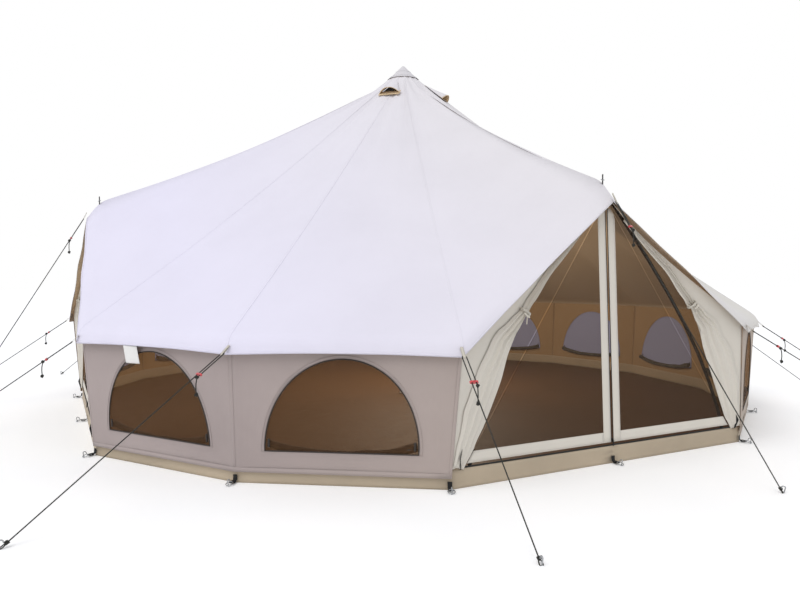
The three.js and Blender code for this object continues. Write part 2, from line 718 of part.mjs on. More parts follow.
function runner(k) {
  const { turn, along, across, square } = guyFrame(k);
  const round = RUNNER_DEPTH / 2;
  const reach = RUNNER_WIDTH / 2 - round;
  const shape = new THREE.Shape();
  shape.absarc(reach, 0, round, -Math.PI / 2, Math.PI / 2);
  shape.absarc(-reach, 0, round, Math.PI / 2, 1.5 * Math.PI);
  for (const side of [-1, 1]) {
    const bore = ROPE_RADIUS + RUNNER_CLEARANCE;
    shape.holes.push(new THREE.Path().absarc(side * TURN_RADIUS, 0, bore, 0, 2 * Math.PI, true));
  }
  const place = turn.clone().addScaledVector(along, RUNNER_DISTANCE - RUNNER_LENGTH / 2);
  const frame = new THREE.Matrix4().makeBasis(across, square, along);
  return new THREE.ExtrudeGeometry(shape, { depth: RUNNER_LENGTH, curveSegments: 5, bevelEnabled: false })
    .applyMatrix4(frame.setPosition(place));
}

function guys() {
  for (let k = 0; k < DIVISIONS; k += 1) {
    const label = String(k).padStart(2, '0');
    add(`guy_rope_${label}`, tube(ropePoints(k), ROPE_RADIUS, 0, 8), ropeFibre);
    add(`runner_${label}`, runner(k), runnerPlastic);
  }
}

groundsheet();
wallRun('far', 1, 11);
wallRun('near', 13, 15);
roof();
centrePole();
doorway('front', DOOR_CORNERS[0]);
doorway('side', DOOR_CORNERS[1]);
guys();

export default tent;
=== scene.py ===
import math

import bmesh
import bpy
from mathutils import Matrix, Vector, noise


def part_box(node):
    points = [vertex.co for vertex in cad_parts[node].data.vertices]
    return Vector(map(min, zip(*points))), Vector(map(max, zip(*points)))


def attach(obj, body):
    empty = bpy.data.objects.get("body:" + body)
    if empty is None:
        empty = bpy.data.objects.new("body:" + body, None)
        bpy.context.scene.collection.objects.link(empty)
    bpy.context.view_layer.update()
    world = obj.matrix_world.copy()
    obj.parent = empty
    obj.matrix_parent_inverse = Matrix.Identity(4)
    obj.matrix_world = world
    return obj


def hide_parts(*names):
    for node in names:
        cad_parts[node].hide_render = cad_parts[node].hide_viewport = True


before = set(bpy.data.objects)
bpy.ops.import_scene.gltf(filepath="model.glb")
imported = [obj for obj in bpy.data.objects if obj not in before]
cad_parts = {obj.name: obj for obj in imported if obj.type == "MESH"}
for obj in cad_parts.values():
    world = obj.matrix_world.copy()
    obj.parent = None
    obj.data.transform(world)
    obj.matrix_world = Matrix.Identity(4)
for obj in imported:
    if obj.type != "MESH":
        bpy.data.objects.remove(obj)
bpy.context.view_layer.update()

# ---------------------------------------------------------------- sizes, in metres
# The plan repeats the model's: azimuths grow from -Y towards +X, in divisions of the round.
DIVISIONS = 16
STEP = 360 / DIVISIONS
DOORS = {0: "front", 12: "side"}
VENTS = (2, 6, 10, 14)
FLOOR_RADIUS = 3.000
TUB_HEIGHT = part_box("groundsheet")[1].z
WALL_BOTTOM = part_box("wall_near")[0].z
WALL_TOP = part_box("wall_near")[1].z
WALL_FOOT_RADIUS = 3.010
WALL_LEAN = 0.040
WINDOW_WIDTH = 0.830
WINDOW_HEIGHT = 0.505
WINDOW_SILL = 0.185
SEAM_RADIUS = 3.066
SEAM_HEIGHT = 0.800
VALANCE_RADIUS = 3.084
VALANCE_HEIGHT = 0.710
COLLAR_RADIUS = 0.070
COLLAR_HEIGHT = 3.055
SHOULDER_RADIUS = 0.310
SHOULDER_HEIGHT = 2.845
ROOF_SAG = 0.055
APEX_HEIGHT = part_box("apex_cap")[1].z
# How the awnings draw the doorways' corners at the eave: degrees towards the doorway, and upwards.
DRAWN_CORNERS = {1: (-2.5, 0.050), 11: (1, 0), 13: (-1, 0), 15: (1, 0)}
AWNING_DROOP = 0.072
DOOR_LEAN = 0.051
CHORD = FLOOR_RADIUS * math.cos(math.radians(STEP))
PEAK_RADIUS = 2.6627
PEAK_HEIGHT = 1.705
AWNING_RADIUS = 2.7557
AWNING_HEIGHT = 1.573
SILL = TUB_HEIGHT + 0.010
OPENING_HALF_WIDTH = 1.055
OPENING_TOP = 1.600
SURROUND_TOP = 1.655
LEAF_GAP = 0.006
LEAF_TOP = 1.540
HINGE_GAP = 0.008
WING_LEVEL = (WALL_TOP - SILL) / (OPENING_TOP - SILL)
EDGE_INSET = 0.004
TIE_REACH = 0.650
TIE_HEIGHT = 0.940
TIE_LEVEL = (TIE_HEIGHT - SILL) / (OPENING_TOP - SILL)
TIE_SHARE = 0.47
ROPE = 0.006
TURN_RADIUS = 0.012
RUNNER_DISTANCE = 0.165
RUNNER_LENGTH = 0.010
EAVE_STAND = 0.024
EAVE_RISE = 0.012
TIP_STAND = 0.020
TAIL_LENGTH = 0.095
PEG_REACH = 1.050
ROPE_END_HEIGHT = 0.016
# Pegs that don't stand straight out: degrees off their corner, and distance past the floor's corners.
PEGS = {
    0: (6, 0.620), 1: (4.3, 1.213), 11: (4.1, 1.120), 12: (0.9, 0.710), 13: (-7.4, 1.039),
    14: (-5.9, 1.123), 15: (3.3, 0.960),
}
CLOTH = 0.0012

# ---------------------------------------------------------------- the plan


def polar(azimuth, radius, z=0.0):
    a = math.radians(azimuth)
    return Vector((radius * math.sin(a), -radius * math.cos(a), z))


def is_door(k):
    return k % DIVISIONS in DOORS


def eave_azimuth(k):
    return k * STEP + DRAWN_CORNERS.get(k % DIVISIONS, (0, 0))[0]


def eave_rise(k):
    return DRAWN_CORNERS.get(k % DIVISIONS, (0, 0))[1]


def smooth(t):
    t = min(max(t, 0.0), 1.0)
    return t * t * (3 - 2 * t)


def between(points, t):
    """A point on the straight stretches through points, t from 0 to 1 by count."""
    place = min(max(t, 0.0), 1.0) * (len(points) - 1)
    i = min(int(place), len(points) - 2)
    return points[i].lerp(points[i + 1], place - i)


# ---------------------------------------------------------------- camera, stage and light

CAMERA_AZIMUTH = -27.2
CAMERA_DISTANCE = 6.535
CAMERA_HEIGHT = 1.123
AIM_HEIGHT = 0.907
FOCAL_SHARE = 0.849  # of the sensor's width


def studio():
    scene = bpy.context.scene
    scene.view_settings.view_transform = "Standard"
    lens = bpy.data.cameras.new("camera")
    camera = bpy.data.objects.new("camera", lens)
    scene.collection.objects.link(camera)
    lens.lens = FOCAL_SHARE * lens.sensor_width
    lens.shift_x = -0.004
    camera.location = polar(CAMERA_AZIMUTH, CAMERA_DISTANCE, CAMERA_HEIGHT)
    aim = Vector((0, 0, AIM_HEIGHT)) - camera.location
    camera.rotation_euler = aim.to_track_quat("-Z", "Y").to_euler()
    scene.camera = camera

    world = bpy.data.worlds.new("studio")
    world.use_nodes = True
    scene.world = world
    nodes, links = world.node_tree.nodes, world.node_tree.links
    seen = nodes.new("ShaderNodeBackground")
    seen.inputs["Color"].default_value = (1, 1, 1, 1)
    seen.inputs["Strength"].default_value = 1.0
    light = nodes["Background"]
    light.inputs["Color"].default_value = (0.93, 0.95, 1.0, 1)
    light.inputs["Strength"].default_value = 0.72
    path = nodes.new("ShaderNodeLightPath")
    mixed = nodes.new("ShaderNodeMixShader")
    links.new(path.outputs["Is Camera Ray"], mixed.inputs[0])
    links.new(light.outputs[0], mixed.inputs[1])
    links.new(seen.outputs[0], mixed.inputs[2])
    links.new(mixed.outputs[0], nodes["World Output"].inputs["Surface"])

    key = bpy.data.lights.new("key", "SUN")
    key.energy = 1.35
    key.angle = math.radians(50)
    key.color = (1.0, 0.985, 0.96)
    sun = bpy.data.objects.new("key", key)
    sun.rotation_euler = (Vector((0, 0, 0)) - polar(-62, 3, 5)).to_track_quat("-Z", "Y").to_euler()
    scene.collection.objects.link(sun)

    glow = bpy.data.lights.new("inside", "POINT")
    glow.energy = 120
    glow.shadow_soft_size = 0.7
    glow.color = (1.0, 0.86, 0.68)
    lamp = bpy.data.objects.new("inside", glow)
    lamp.location = (0.5, 0.4, 1.35)
    scene.collection.objects.link(lamp)

    floor = bmesh.new()
    bmesh.ops.create_grid(floor, x_segments=1, y_segments=1, size=60)
    mesh = bpy.data.meshes.new("studio_floor")
    floor.to_mesh(mesh)
    floor.free()
    ground = bpy.data.objects.new("studio_floor", mesh)
    scene.collection.objects.link(ground)
    pale = bpy.data.materials.new("studio_pale")
    pale.use_nodes = True
    pale.node_tree.nodes["Principled BSDF"].inputs["Base Color"].default_value = (0.93, 0.93, 0.93, 1)
    pale.node_tree.nodes["Principled BSDF"].inputs["Roughness"].default_value = 0.9
    pale.node_tree.nodes["Principled BSDF"].inputs["Emission Color"].default_value = (1, 1, 1, 1)
    pale.node_tree.nodes["Principled BSDF"].inputs["Emission Strength"].default_value = 0.10
    mesh.materials.append(pale)


# ---------------------------------------------------------------- materials


class Shader:
    """A Principled material that grows node by node."""

    def __init__(self, name, roughness=0.8, metallic=0.0, **sockets):
        self.material = bpy.data.materials.new(name)
        self.material.use_nodes = True
        self.nodes = self.material.node_tree.nodes
        self.links = self.material.node_tree.links
        self.shader = self.nodes["Principled BSDF"]
        self.shader.inputs["Roughness"].default_value = roughness
        self.shader.inputs["Metallic"].default_value = metallic
        for socket, value in sockets.items():
            self.shader.inputs[socket.replace("_", " ")].default_value = value
        self.place = self.nodes.new("ShaderNodeTexCoord").outputs["Object"]

    def on_uv(self):
        self.place = self.nodes.new("ShaderNodeUVMap").outputs["UV"]
        return self

    def noise(self, scale, detail=3.0, rough=0.5, stretch=None):
        node = self.nodes.new("ShaderNodeTexNoise")
        node.inputs["Scale"].default_value = scale
        node.inputs["Detail"].default_value = detail
        node.inputs["Roughness"].default_value = rough
        source = self.place
        if stretch:
            mapping = self.nodes.new("ShaderNodeMapping")
            mapping.inputs["Scale"].default_value = stretch
            self.links.new(source, mapping.inputs["Vector"])
            source = mapping.outputs["Vector"]
        self.links.new(source, node.inputs["Vector"])
        return node.outputs["Fac"]

    def waves(self, scale, direction, distortion=0.4):
        node = self.nodes.new("ShaderNodeTexWave")
        node.wave_type = "BANDS"
        node.bands_direction = direction
        node.inputs["Scale"].default_value = scale
        node.inputs["Distortion"].default_value = distortion
        node.inputs["Detail"].default_value = 1.0
        self.links.new(self.place, node.inputs["Vector"])
        return node.outputs["Fac"]

    def math(self, operation, a, b):
        node = self.nodes.new("ShaderNodeMath")
        node.operation = operation
        for socket, value in zip(node.inputs, (a, b)):
            if isinstance(value, (int, float)):
                socket.default_value = value
            else:
                self.links.new(value, socket)
        return node.outputs[0]

    def ramp(self, factor, *stops):
        """Colours by factor; a stop is (position, (r, g, b))."""
        node = self.nodes.new("ShaderNodeValToRGB")
        elements = node.color_ramp.elements
        while len(elements) < len(stops):
            elements.new(0.5)
        for element, (position, colour) in zip(elements, stops):
            element.position = position
            element.color = (*colour, 1)
        self.links.new(factor, node.inputs["Fac"])
        return node.outputs["Color"]

    def colour(self, output):
        self.links.new(output, self.shader.inputs["Base Color"])
        return self

    def rough(self, factor, low, high):
        node = self.nodes.new("ShaderNodeMapRange")
        node.inputs["To Min"].default_value = low
        node.inputs["To Max"].default_value = high
        self.links.new(factor, node.inputs["Value"])
        self.links.new(node.outputs["Result"], self.shader.inputs["Roughness"])
        return self

    def bump(self, height, strength, distance):
        node = self.nodes.new("ShaderNodeBump")
        node.inputs["Strength"].default_value = strength
        node.inputs["Distance"].default_value = distance
        self.links.new(height, node.inputs["Height"])
        if self.shader.inputs["Normal"].is_linked:
            self.links.new(self.shader.inputs["Normal"].links[0].from_socket, node.inputs["Normal"])
        self.links.new(node.outputs["Normal"], self.shader.inputs["Normal"])
        return self


def tint(colour, share):
    return tuple(min(c * share, 1.0) for c in colour)


def canvas(name, colour, roughness=0.88, blotch=0.05, warp=900, towards=None):
    """Plain-woven cotton: crossing threads, slubs and soft blotches. Where towards is given, its colour
    blends to that colour on its +X side: painted light and shade, for how the light falls on that side."""
    s = Shader(name, roughness, Sheen_Weight=0.12, Sheen_Roughness=0.6, Specular_IOR_Level=0.25)
    cloud = s.noise(1.6, 5.0, 0.6)
    tints = s.ramp(cloud, (0.25, tint(colour, 1 - blotch)), (0.5, colour), (0.8, tint(colour, 1 + blotch)))
    # painted light and shade: the colour is blended along +X towards the given colour, for how the light
    # falls on that side
    if towards:
        split = s.nodes.new("ShaderNodeSeparateXYZ")
        s.links.new(s.place, split.inputs[0])
        reach = s.nodes.new("ShaderNodeMapRange")
        reach.inputs["From Min"].default_value = -2.2
        reach.inputs["From Max"].default_value = 1.6
        s.links.new(split.outputs["X"], reach.inputs["Value"])
        share = tuple(b / a for a, b in zip(colour, towards))
        blend = s.nodes.new("ShaderNodeMix")
        blend.data_type = "RGBA"
        blend.blend_type = "MULTIPLY"
        s.links.new(reach.outputs["Result"], blend.inputs[0])
        s.links.new(tints, blend.inputs[6])
        blend.inputs[7].default_value = (*share, 1)
        tints = blend.outputs[2]
    s.colour(tints)
    s.on_uv()
    threads = s.math("MULTIPLY", s.waves(warp, "X"), s.waves(warp, "Y"))
    slubs = s.noise(60, 4.0, 0.7, (1, 5, 1))
    s.bump(s.math("ADD", threads, slubs), 0.25, 0.0006)
    s.bump(s.noise(7, 4.0, 0.55), 0.35, 0.006)
    return s.material


def see_through(name, colour, alpha, backlit_colour=None, backlit_alpha=None):
    """Fine insect mesh: threads with open holes between them; from within the tent it takes another colour
    and opacity, painted light for the daylight seen through it.
    """
    s = Shader(name, 0.75, Specular_IOR_Level=0.2)
    inner = s.nodes.new("ShaderNodeNewGeometry").outputs["Backfacing"]
    # painted light: the inner faces take a lighter colour, for daylight seen through the mesh from inside
    s.colour(s.ramp(inner, (0.0, colour), (1.0, backlit_colour or colour)))
    s.on_uv()
    cells = s.math("MAXIMUM", s.waves(330, "X", 0), s.waves(330, "Y", 0))
    veil = s.nodes.new("ShaderNodeMapRange")
    veil.inputs["To Min"].default_value = alpha - 0.08
    veil.inputs["To Max"].default_value = alpha + 0.08
    s.links.new(cells, veil.inputs["Value"])
    more = (backlit_alpha or alpha) - alpha
    shown = s.math("ADD", veil.outputs["Result"], s.math("MULTIPLY", inner, more))
    s.links.new(shown, s.shader.inputs["Alpha"])
    return s.material


def webbing(name, colour):
    s = Shader(name, 0.75, Specular_IOR_Level=0.3)
    cloud = s.noise(40, 3.0)
    s.colour(s.ramp(cloud, (0.3, tint(colour, 0.85)), (0.7, tint(colour, 1.1))))
    s.on_uv()
    s.bump(s.waves(450, "DIAGONAL"), 0.5, 0.0008)
    return s.material


def metal(name, colour, roughness, metallic=1.0):
    s = Shader(name, roughness, metallic)
    s.colour(s.ramp(s.noise(9, 5.0, 0.65), (0.3, tint(colour, 0.8)), (0.7, tint(colour, 1.1))))
    s.rough(s.noise(60, 3.0), roughness * 0.8, min(roughness * 1.35, 1))
    s.bump(s.noise(300, 2.0, 0.5, (1, 1, 0.1)), 0.12, 0.0005)
    return s.material


def braid(name, colour):
    s = Shader(name, 0.85, Specular_IOR_Level=0.2)
    s.colour(s.ramp(s.noise(350, 3.0, 0.6), (0.35, tint(colour, 0.65)), (0.7, tint(colour, 1.5))))
    s.bump(s.waves(160, "DIAGONAL", 2.0), 0.8, 0.001)
    return s.material


def groundsheet_fabric(name, colour):
    s = Shader(name, 0.6, Specular_IOR_Level=0.35)
    s.colour(s.ramp(s.noise(1.2, 6.0, 0.6), (0.3, tint(colour, 0.86)), (0.75, tint(colour, 1.12))))
    s.rough(s.noise(14, 4.0), 0.5, 0.78)
    s.bump(s.noise(5, 5.0, 0.6), 0.5, 0.006)
    s.bump(s.math("MULTIPLY", s.waves(120, "X", 0.2), s.waves(120, "Y", 0.2)), 0.25, 0.0008)
    return s.material


def runner_plastic():
    s = Shader("runner_red_plastic", 0.28, Transmission_Weight=0.25, IOR=1.49, Coat_Weight=0.3)
    s.colour(s.ramp(s.noise(40, 2.0), (0.3, (0.62, 0.03, 0.04)), (0.7, (0.8, 0.09, 0.10))))
    s.bump(s.noise(150, 2.0), 0.1, 0.0005)
    return s.material


# painted shade: the roof turns greyer and creamier towards +X, the side turned from the key light
ROOF = canvas("roof_canvas", (0.725, 0.700, 0.820), blotch=0.03, towards=(0.680, 0.655, 0.610))
# painted shade and glow: the roof cloth's inner face is a darker, browner copy of the canvas, for the shade
# inside the tent and the warm light through it
ROOF_INSIDE_PAINTED_SHADE = canvas("roof_canvas_inside_painted_shade", (0.47, 0.365, 0.25))
VALANCE = canvas("apex_canvas", (0.62, 0.60, 0.62))
# painted light and shade: the wall turns brighter and warmer towards +X, for how the light falls on that
# side
WALL = canvas("wall_canvas", (0.370, 0.310, 0.298), blotch=0.09, towards=(0.46, 0.382, 0.312))
# painted shade and glow: the wall cloth's inner face is a browner copy of the wall canvas, for the shade
# inside the tent and the warm light through the cloth
WALL_INSIDE_PAINTED_SHADE = canvas("wall_canvas_inside_painted_shade", (0.42, 0.285, 0.16))
DOOR = canvas("door_canvas", (0.64, 0.60, 0.53))
BAND = canvas("door_band_canvas", (0.66, 0.62, 0.55))
BINDING = canvas("window_binding", (0.035, 0.028, 0.024), 0.7)
COVER = canvas("rolled_window_cover", (0.075, 0.07, 0.065), 0.85)
# painted light: seen from inside, the window mesh is lavender and nearly opaque, standing in for the
# daylight behind the far windows
SCREEN = see_through("window_mesh", (0.11, 0.055, 0.022), 0.46, (0.30, 0.32, 0.54), 0.92)
DOOR_SCREEN = see_through("door_mesh", (0.050, 0.033, 0.020), 0.46)
GROUND = groundsheet_fabric("laminated_floor", (0.115, 0.062, 0.034))
TUB = groundsheet_fabric("laminated_tub", (0.45, 0.37, 0.27))
CREAM_WEB = webbing("cream_webbing", (0.62, 0.58, 0.50))
DARK_WEB = webbing("black_webbing", (0.02, 0.02, 0.02))
ZIP = metal("zip_black", (0.015, 0.015, 0.015), 0.45, 0.3)
STEEL = metal("galvanised_steel", (0.42, 0.43, 0.44), 0.38)
FRAME = metal("dark_coated_steel", (0.03, 0.027, 0.025), 0.5, 0.4)
ROPE_BRAID = braid("guy_rope_braid", (0.045, 0.045, 0.04))
RUNNER = runner_plastic()
TAG = canvas("blank_tag_cloth", (0.78, 0.77, 0.75))
VENT_TRIM = canvas("vent_trim_canvas", (0.66, 0.50, 0.31))

# ---------------------------------------------------------------- making pieces


def piece_of(name, mesh, material, body="tent", inside=None):
    piece = bpy.data.objects.new(name, mesh)
    bpy.context.scene.collection.objects.link(piece)
    mesh.materials.append(material)
    if inside:
        mesh.materials.append(inside)
    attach(piece, body)
    return piece


def from_bmesh(name, bm, material, body="tent", inside=None, flat=False):
    mesh = bpy.data.meshes.new(name)
    bm.to_mesh(mesh)
    bm.free()
    if not flat:
        mesh.polygons.foreach_set("use_smooth", [True] * len(mesh.polygons))
    return piece_of(name, mesh, material, body, inside)


def cloth(name, columns, rows, place, material, body="tent", inside=None, thick=CLOTH, size=(1, 1),
          weld=True, offset=-1.0, held=None, cut_area=None):
    """A sheet of cloth: a grid whose point (u, v) lies at place(u, v), with its outer face on u x v.
    size is what it was cut from; held, how it hangs for a piece that is a sheet by itself, is not used."""
    bm = bmesh.new()
    layer = bm.loops.layers.uv.new("UVMap")
    bmesh.ops.create_grid(bm, x_segments=columns, y_segments=rows, size=0.5, calc_uvs=True)
    for face in bm.faces:
        for loop in face.loops:
            loop[layer].uv = (loop[layer].uv[0] * size[0], loop[layer].uv[1] * size[1])
    for vert in bm.verts:
        vert.co = place(vert.co.x + 0.5, vert.co.y + 0.5)
    if weld:
        bmesh.ops.remove_doubles(bm, verts=bm.verts, dist=0.00005)
    area = sum(face.calc_area() for face in bm.faces)
    piece = from_bmesh(name, bm, material, body, inside)
    if held:
        cut_area or min(area, size[0] * size[1])
    if thick:
        shell = piece.modifiers.new("thickness", "SOLIDIFY")
        shell.thickness = thick
        shell.offset = offset
        shell.material_offset = 1 if inside else 0
    return piece


def strap(name, path, side, width, material, body="tent", steps=24, thick=0.0016, length=1.0):
    """A flat strip of width along path(u), lying along side(u)."""
    def place(u, v):
        return path(u) + side(u) * ((v - 0.5) * width)
    return cloth(name, steps, 1, place, material, body, thick=thick, size=(length, width), offset=0.0)


def rod(name, points, radius, material, body="tent", closed=False, radii=None, resolution=3):
    """A round cord or rod as a curve through points."""
    curve = bpy.data.curves.new(name, "CURVE")
    curve.dimensions = "3D"
    curve.bevel_depth = radius
    curve.bevel_resolution = resolution
    curve.use_fill_caps = True
    spline = curve.splines.new("POLY")
    spline.points.add(len(points) - 1)
    for i, point in enumerate(points):
        spline.points[i].co = (*point, 1)
        spline.points[i].radius = radii[i] if radii else 1.0
    spline.use_cyclic_u = closed
    spline.use_smooth = True
    curve.materials.append(material)
    piece = bpy.data.objects.new(name, curve)
    bpy.context.scene.collection.objects.link(piece)
    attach(piece, body)
    return piece


def ring(name, centre, normal, radius, wire, material, body="tent", squeeze=1.0):
    normal = normal.normalized()
    first = normal.orthogonal().normalized()
    second = normal.cross(first)
    turns = 20
    points = []
    for i in range(turns):
        a = 2 * math.pi * i / turns
        points.append(centre + first * radius * math.cos(a) * squeeze + second * radius * math.sin(a))
    return rod(name, points, wire, material, body, closed=True, resolution=2)


def knot(name, centre, along, size, material, body="tent"):
    """A trefoil of rope pulled tight round the line that it stops."""
    along = along.normalized()
    first = along.orthogonal().normalized()
    second = along.cross(first)
    points = []
    for i in range(30):
        a = 2 * math.pi * i / 30
        x = math.sin(a) + 2 * math.sin(2 * a)
        y = math.cos(a) - 2 * math.cos(2 * a)
        z = -math.sin(3 * a)
        points.append(centre + (first * x + second * y) * size * 0.33 + along * z * size * 0.8)
    return rod(name, points, ROPE / 2, material, body, closed=True, resolution=2)


# ---------------------------------------------------------------- guy ropes and pegs


def guy_line(k):
    radius, height = VALANCE_RADIUS + EAVE_STAND, VALANCE_HEIGHT + eave_rise(k) + EAVE_RISE
    if is_door(k):
        radius, height = AWNING_RADIUS + TIP_STAND, AWNING_HEIGHT
    start = polar(eave_azimuth(k), radius, height)
    if k not in PEGS:
        return start, polar(eave_azimuth(k), radius + PEG_REACH)
    aside, reach = PEGS[k]
    return start, polar(k * STEP + aside, FLOOR_RADIUS + reach)


def guy_route(k):
    """(route from the runner round the loop to the peg, the tail's route, along, across, turn)"""
    start, peg = guy_line(k)
    along = (peg - start).normalized()
    across = along.cross(Vector((0, 0, 1))).normalized()
    turn = start + along * TURN_RADIUS

    def at(down, aside, fall=0.0):
        return turn + along * down + across * aside - Vector((0, 0, fall))

    below = RUNNER_DISTANCE + RUNNER_LENGTH / 2 + 0.014
    route = [at(below, -TURN_RADIUS)]
    route += [at(below * share, -TURN_RADIUS) for share in (0.75, 0.5, 0.25)]
    arc = 8
    for i in range(arc + 1):
        a = -math.pi / 2 + math.pi * i / arc
        route.append(at(-TURN_RADIUS * math.cos(a), TURN_RADIUS * math.sin(a)))
    full = (turn.z - ROPE_END_HEIGHT) / -along.z
    route += [at(full * share, TURN_RADIUS) for share in (0.05, 0.12, 0.22, 0.36, 0.5, 0.65, 0.8, 0.92, 1)]
    tail = [at(below, -TURN_RADIUS)]
    for aside, fall in ((0.007, 0.010), (0.011, 0.026), (0.0125, 0.045), (0.011, 0.066), (0.010, 0.085)):
        tail.append(at(below + aside, -TURN_RADIUS, fall))
    tail.append(at(below + 0.010, -TURN_RADIUS, TAIL_LENGTH))
    return route, tail, along, across, turn


def length_of(points):
    return sum((b - a).length for a, b in zip(points, points[1:]))


def peg(name, foot, lean):
    """A bent steel peg, driven in so that its hook holds a loop at foot."""
    lean = Vector((lean.x, lean.y, 0)).normalized()
    shaft = (Vector((0, 0, 1)) + lean * 0.25).normalized()
    top = foot + shaft * 0.028
    points = [foot - shaft * (0.092 * share) for share in (1, 0.5, 0)] + [top]
    hook = 0.010
    for i in range(1, 8):
        a = math.pi * i / 8
        points.append(top - lean * hook * (1 - math.cos(a)) + shaft * hook * math.sin(a))
    points.append(points[-1] - shaft * 0.010)
    rod(name, points, 0.003, STEEL, radii=[0.35] + [1.0] * (len(points) - 1))


def guys():
    for k in range(DIVISIONS):
        label = f"{k:02d}"
        route, tail, along, across, turn = guy_route(k)
        rope = rod(f"guy_rope_{label}_line", route, ROPE / 2, ROPE_BRAID)
        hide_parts(f"guy_rope_{label}")
        stop = knot(f"guy_stop_knot_{label}", route[0] + along * 0.004, along, 0.008, ROPE_BRAID)
        away = Vector((along.x, along.y, 0)).normalized()
        end = route[-1]
        eye = [end + across * 0.008 * math.sin(a) + along * 0.016 * (1 - math.cos(a))
               for a in [2 * math.pi * i / 16 for i in range(16)]]
        eye_loop = rod(f"guy_eye_{label}", eye, ROPE / 2 * 0.9, ROPE_BRAID, closed=True, resolution=2)
        bend = knot(f"guy_eye_knot_{label}", end - along * 0.006, along, 0.008, ROPE_BRAID)
        tuple(route[0])
        length_of(route)
        hanging = rod(f"guy_tail_{label}", tail, ROPE / 2, ROPE_BRAID)
        tip = knot(f"guy_tail_knot_{label}", tail[-1] + Vector((0, 0, 0.012)), Vector((0, 0, 1)), 0.008,
                   ROPE_BRAID)
        tuple(tail[0])
        length_of(tail)
        peg(f"guy_peg_{label}", end + along * 0.026 - Vector((0, 0, end.z + along.z * 0.026)), away)
        eave_loop(label, turn, along, across)
        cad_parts[f"runner_{label}"].data.materials.clear()
        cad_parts[f"runner_{label}"].data.materials.append(RUNNER)


def eave_loop(label, turn, along, across):
    """The webbing loop at the eave that the rope turns in."""
    root = turn - along * 0.055 + Vector((0, 0, 0.012))
    drop = Vector((0, 0, 1))
    lower = turn - along * 0.001 - drop * 0.0052
    upper = turn - along * 0.001 + drop * 0.0052
    nose = turn + along * 0.0045
    path = [root - drop * 0.003, root.lerp(lower, 0.5) - drop * 0.002, lower, nose, upper,
            root.lerp(upper, 0.5) + drop * 0.002, root + drop * 0.003]
    strap(f"eave_loop_{label}", lambda u: between(path, u), lambda u: across, 0.016, CREAM_WEB, steps=24,
          length=0.12)


# ---------------------------------------------------------------- roof


def roof_line(k, s):
    """A point of corner line k, s from the collar (0) through the shoulder (0.1) to the wall's seam (1)."""
    azimuth = k * STEP
    collar = polar(azimuth, COLLAR_RADIUS, COLLAR_HEIGHT)
    shoulder = polar(azimuth, SHOULDER_RADIUS, SHOULDER_HEIGHT)
    if is_door(k):
        seam = polar(azimuth, PEAK_RADIUS, PEAK_HEIGHT)
    else:
        seam = polar(eave_azimuth(k), SEAM_RADIUS, SEAM_HEIGHT + eave_rise(k))
    if s < 0.1:
        return collar.lerp(shoulder, s / 0.1)
    t = (s - 0.1) / 0.9
    point = shoulder.lerp(seam, t)
    point.z -= ROOF_SAG * 4 * t * (1 - t)
    return point


def edge_point(k):
    if is_door(k):
        return polar(k * STEP, AWNING_RADIUS, AWNING_HEIGHT)
    return polar(eave_azimuth(k), VALANCE_RADIUS, VALANCE_HEIGHT + eave_rise(k))


def droop(from_peak):
    """How far the seam hangs between a doorway's peak (0) and its corner (1), mostly close to the peak."""
    return AWNING_DROOP * math.sin(math.pi * from_peak ** 0.6)


def taut_point(a, s):
    """A point of the roof, a in divisions round, s as roof_line; past 1 it runs on to the edge at 2."""
    k = math.floor(a)
    f = a - k
    here = roof_line(k, min(s, 1)).lerp(roof_line(k + 1, min(s, 1)), f)
    if is_door(k) or is_door(k + 1):
        here.z -= droop(f if is_door(k) else 1 - f) * max((min(s, 1) - 0.1) / 0.9, 0) ** 4
    if s > 1:
        here = here.lerp(edge_point(k).lerp(edge_point(k + 1), f), s - 1)
    return here


# The roof turns down into its valance in a soft bend between these levels.
BEND_START = 0.982
BEND_END = 1.55


def roof_point(a, s):
    if not BEND_START < s < BEND_END:
        return taut_point(a, s)
    t = (s - BEND_START) / (BEND_END - BEND_START)
    first = taut_point(a, BEND_START).lerp(taut_point(a, 1), t)
    return first.lerp(taut_point(a, 1).lerp(taut_point(a, BEND_END), t), t)


def roof_normal(a, s):
    e = 0.01
    s = min(s, 0.985)
    across = roof_point(a + e, s) - roof_point(a - e, s)
    up = roof_point(a, max(s - e, 0.0)) - roof_point(a, s + e)
    return across.cross(up).normalized()


def roof_wrinkle(a, s):
    """How far the cloth stands off the taut roof: hollow between the corner lines, with radial folds."""
    f = a - math.floor(a)
    hollow = -0.014 * math.sin(math.pi * f) ** 2 * abs(math.sin(math.pi * min(s, 1.0))) ** 0.7
    near_top = (1 - min(s, 1)) ** 2
    wave = noise.noise(Vector((a * 2.3, s * 1.1, 3.0)))
    radial = 0.016 * near_top * math.sin(2 * math.pi * (a * 1.2 + 0.9 * wave)) * smooth(s * 5)
    soft = 0.010 * noise.noise(Vector((a * 1.1, s * 3.0, 7.0))) * smooth(4 * (1 - s)) * smooth(s * 5)
    corner = 0.0
    tuck = min(f, 1 - f)
    if s > 0.7:
        pull = smooth((s - 0.7) / 0.3) * math.exp(-((tuck / 0.22) ** 2))
        corner = 0.0035 * pull * math.sin(26 * tuck + 9 * s)
    return (hollow + radial + soft + corner) * smooth((1.0 - s) / 0.03)


def roof_surface(a, s):
    if s < 1:
        return roof_point(a, s) + roof_normal(a, s) * roof_wrinkle(a, s)
    f = a - math.floor(a)
    wave = math.sin(2 * math.pi * f * 2.5 + 3 * noise.noise(Vector((a, 5, 1))))
    ripple = 0.005 * math.sin(math.pi * f) * wave * (s - 1)
    scallop = Vector((0, 0, 0.012 * math.sin(math.pi * f) * (s - 1)))
    return roof_point(a, s) + polar(a * STEP, ripple) + scallop


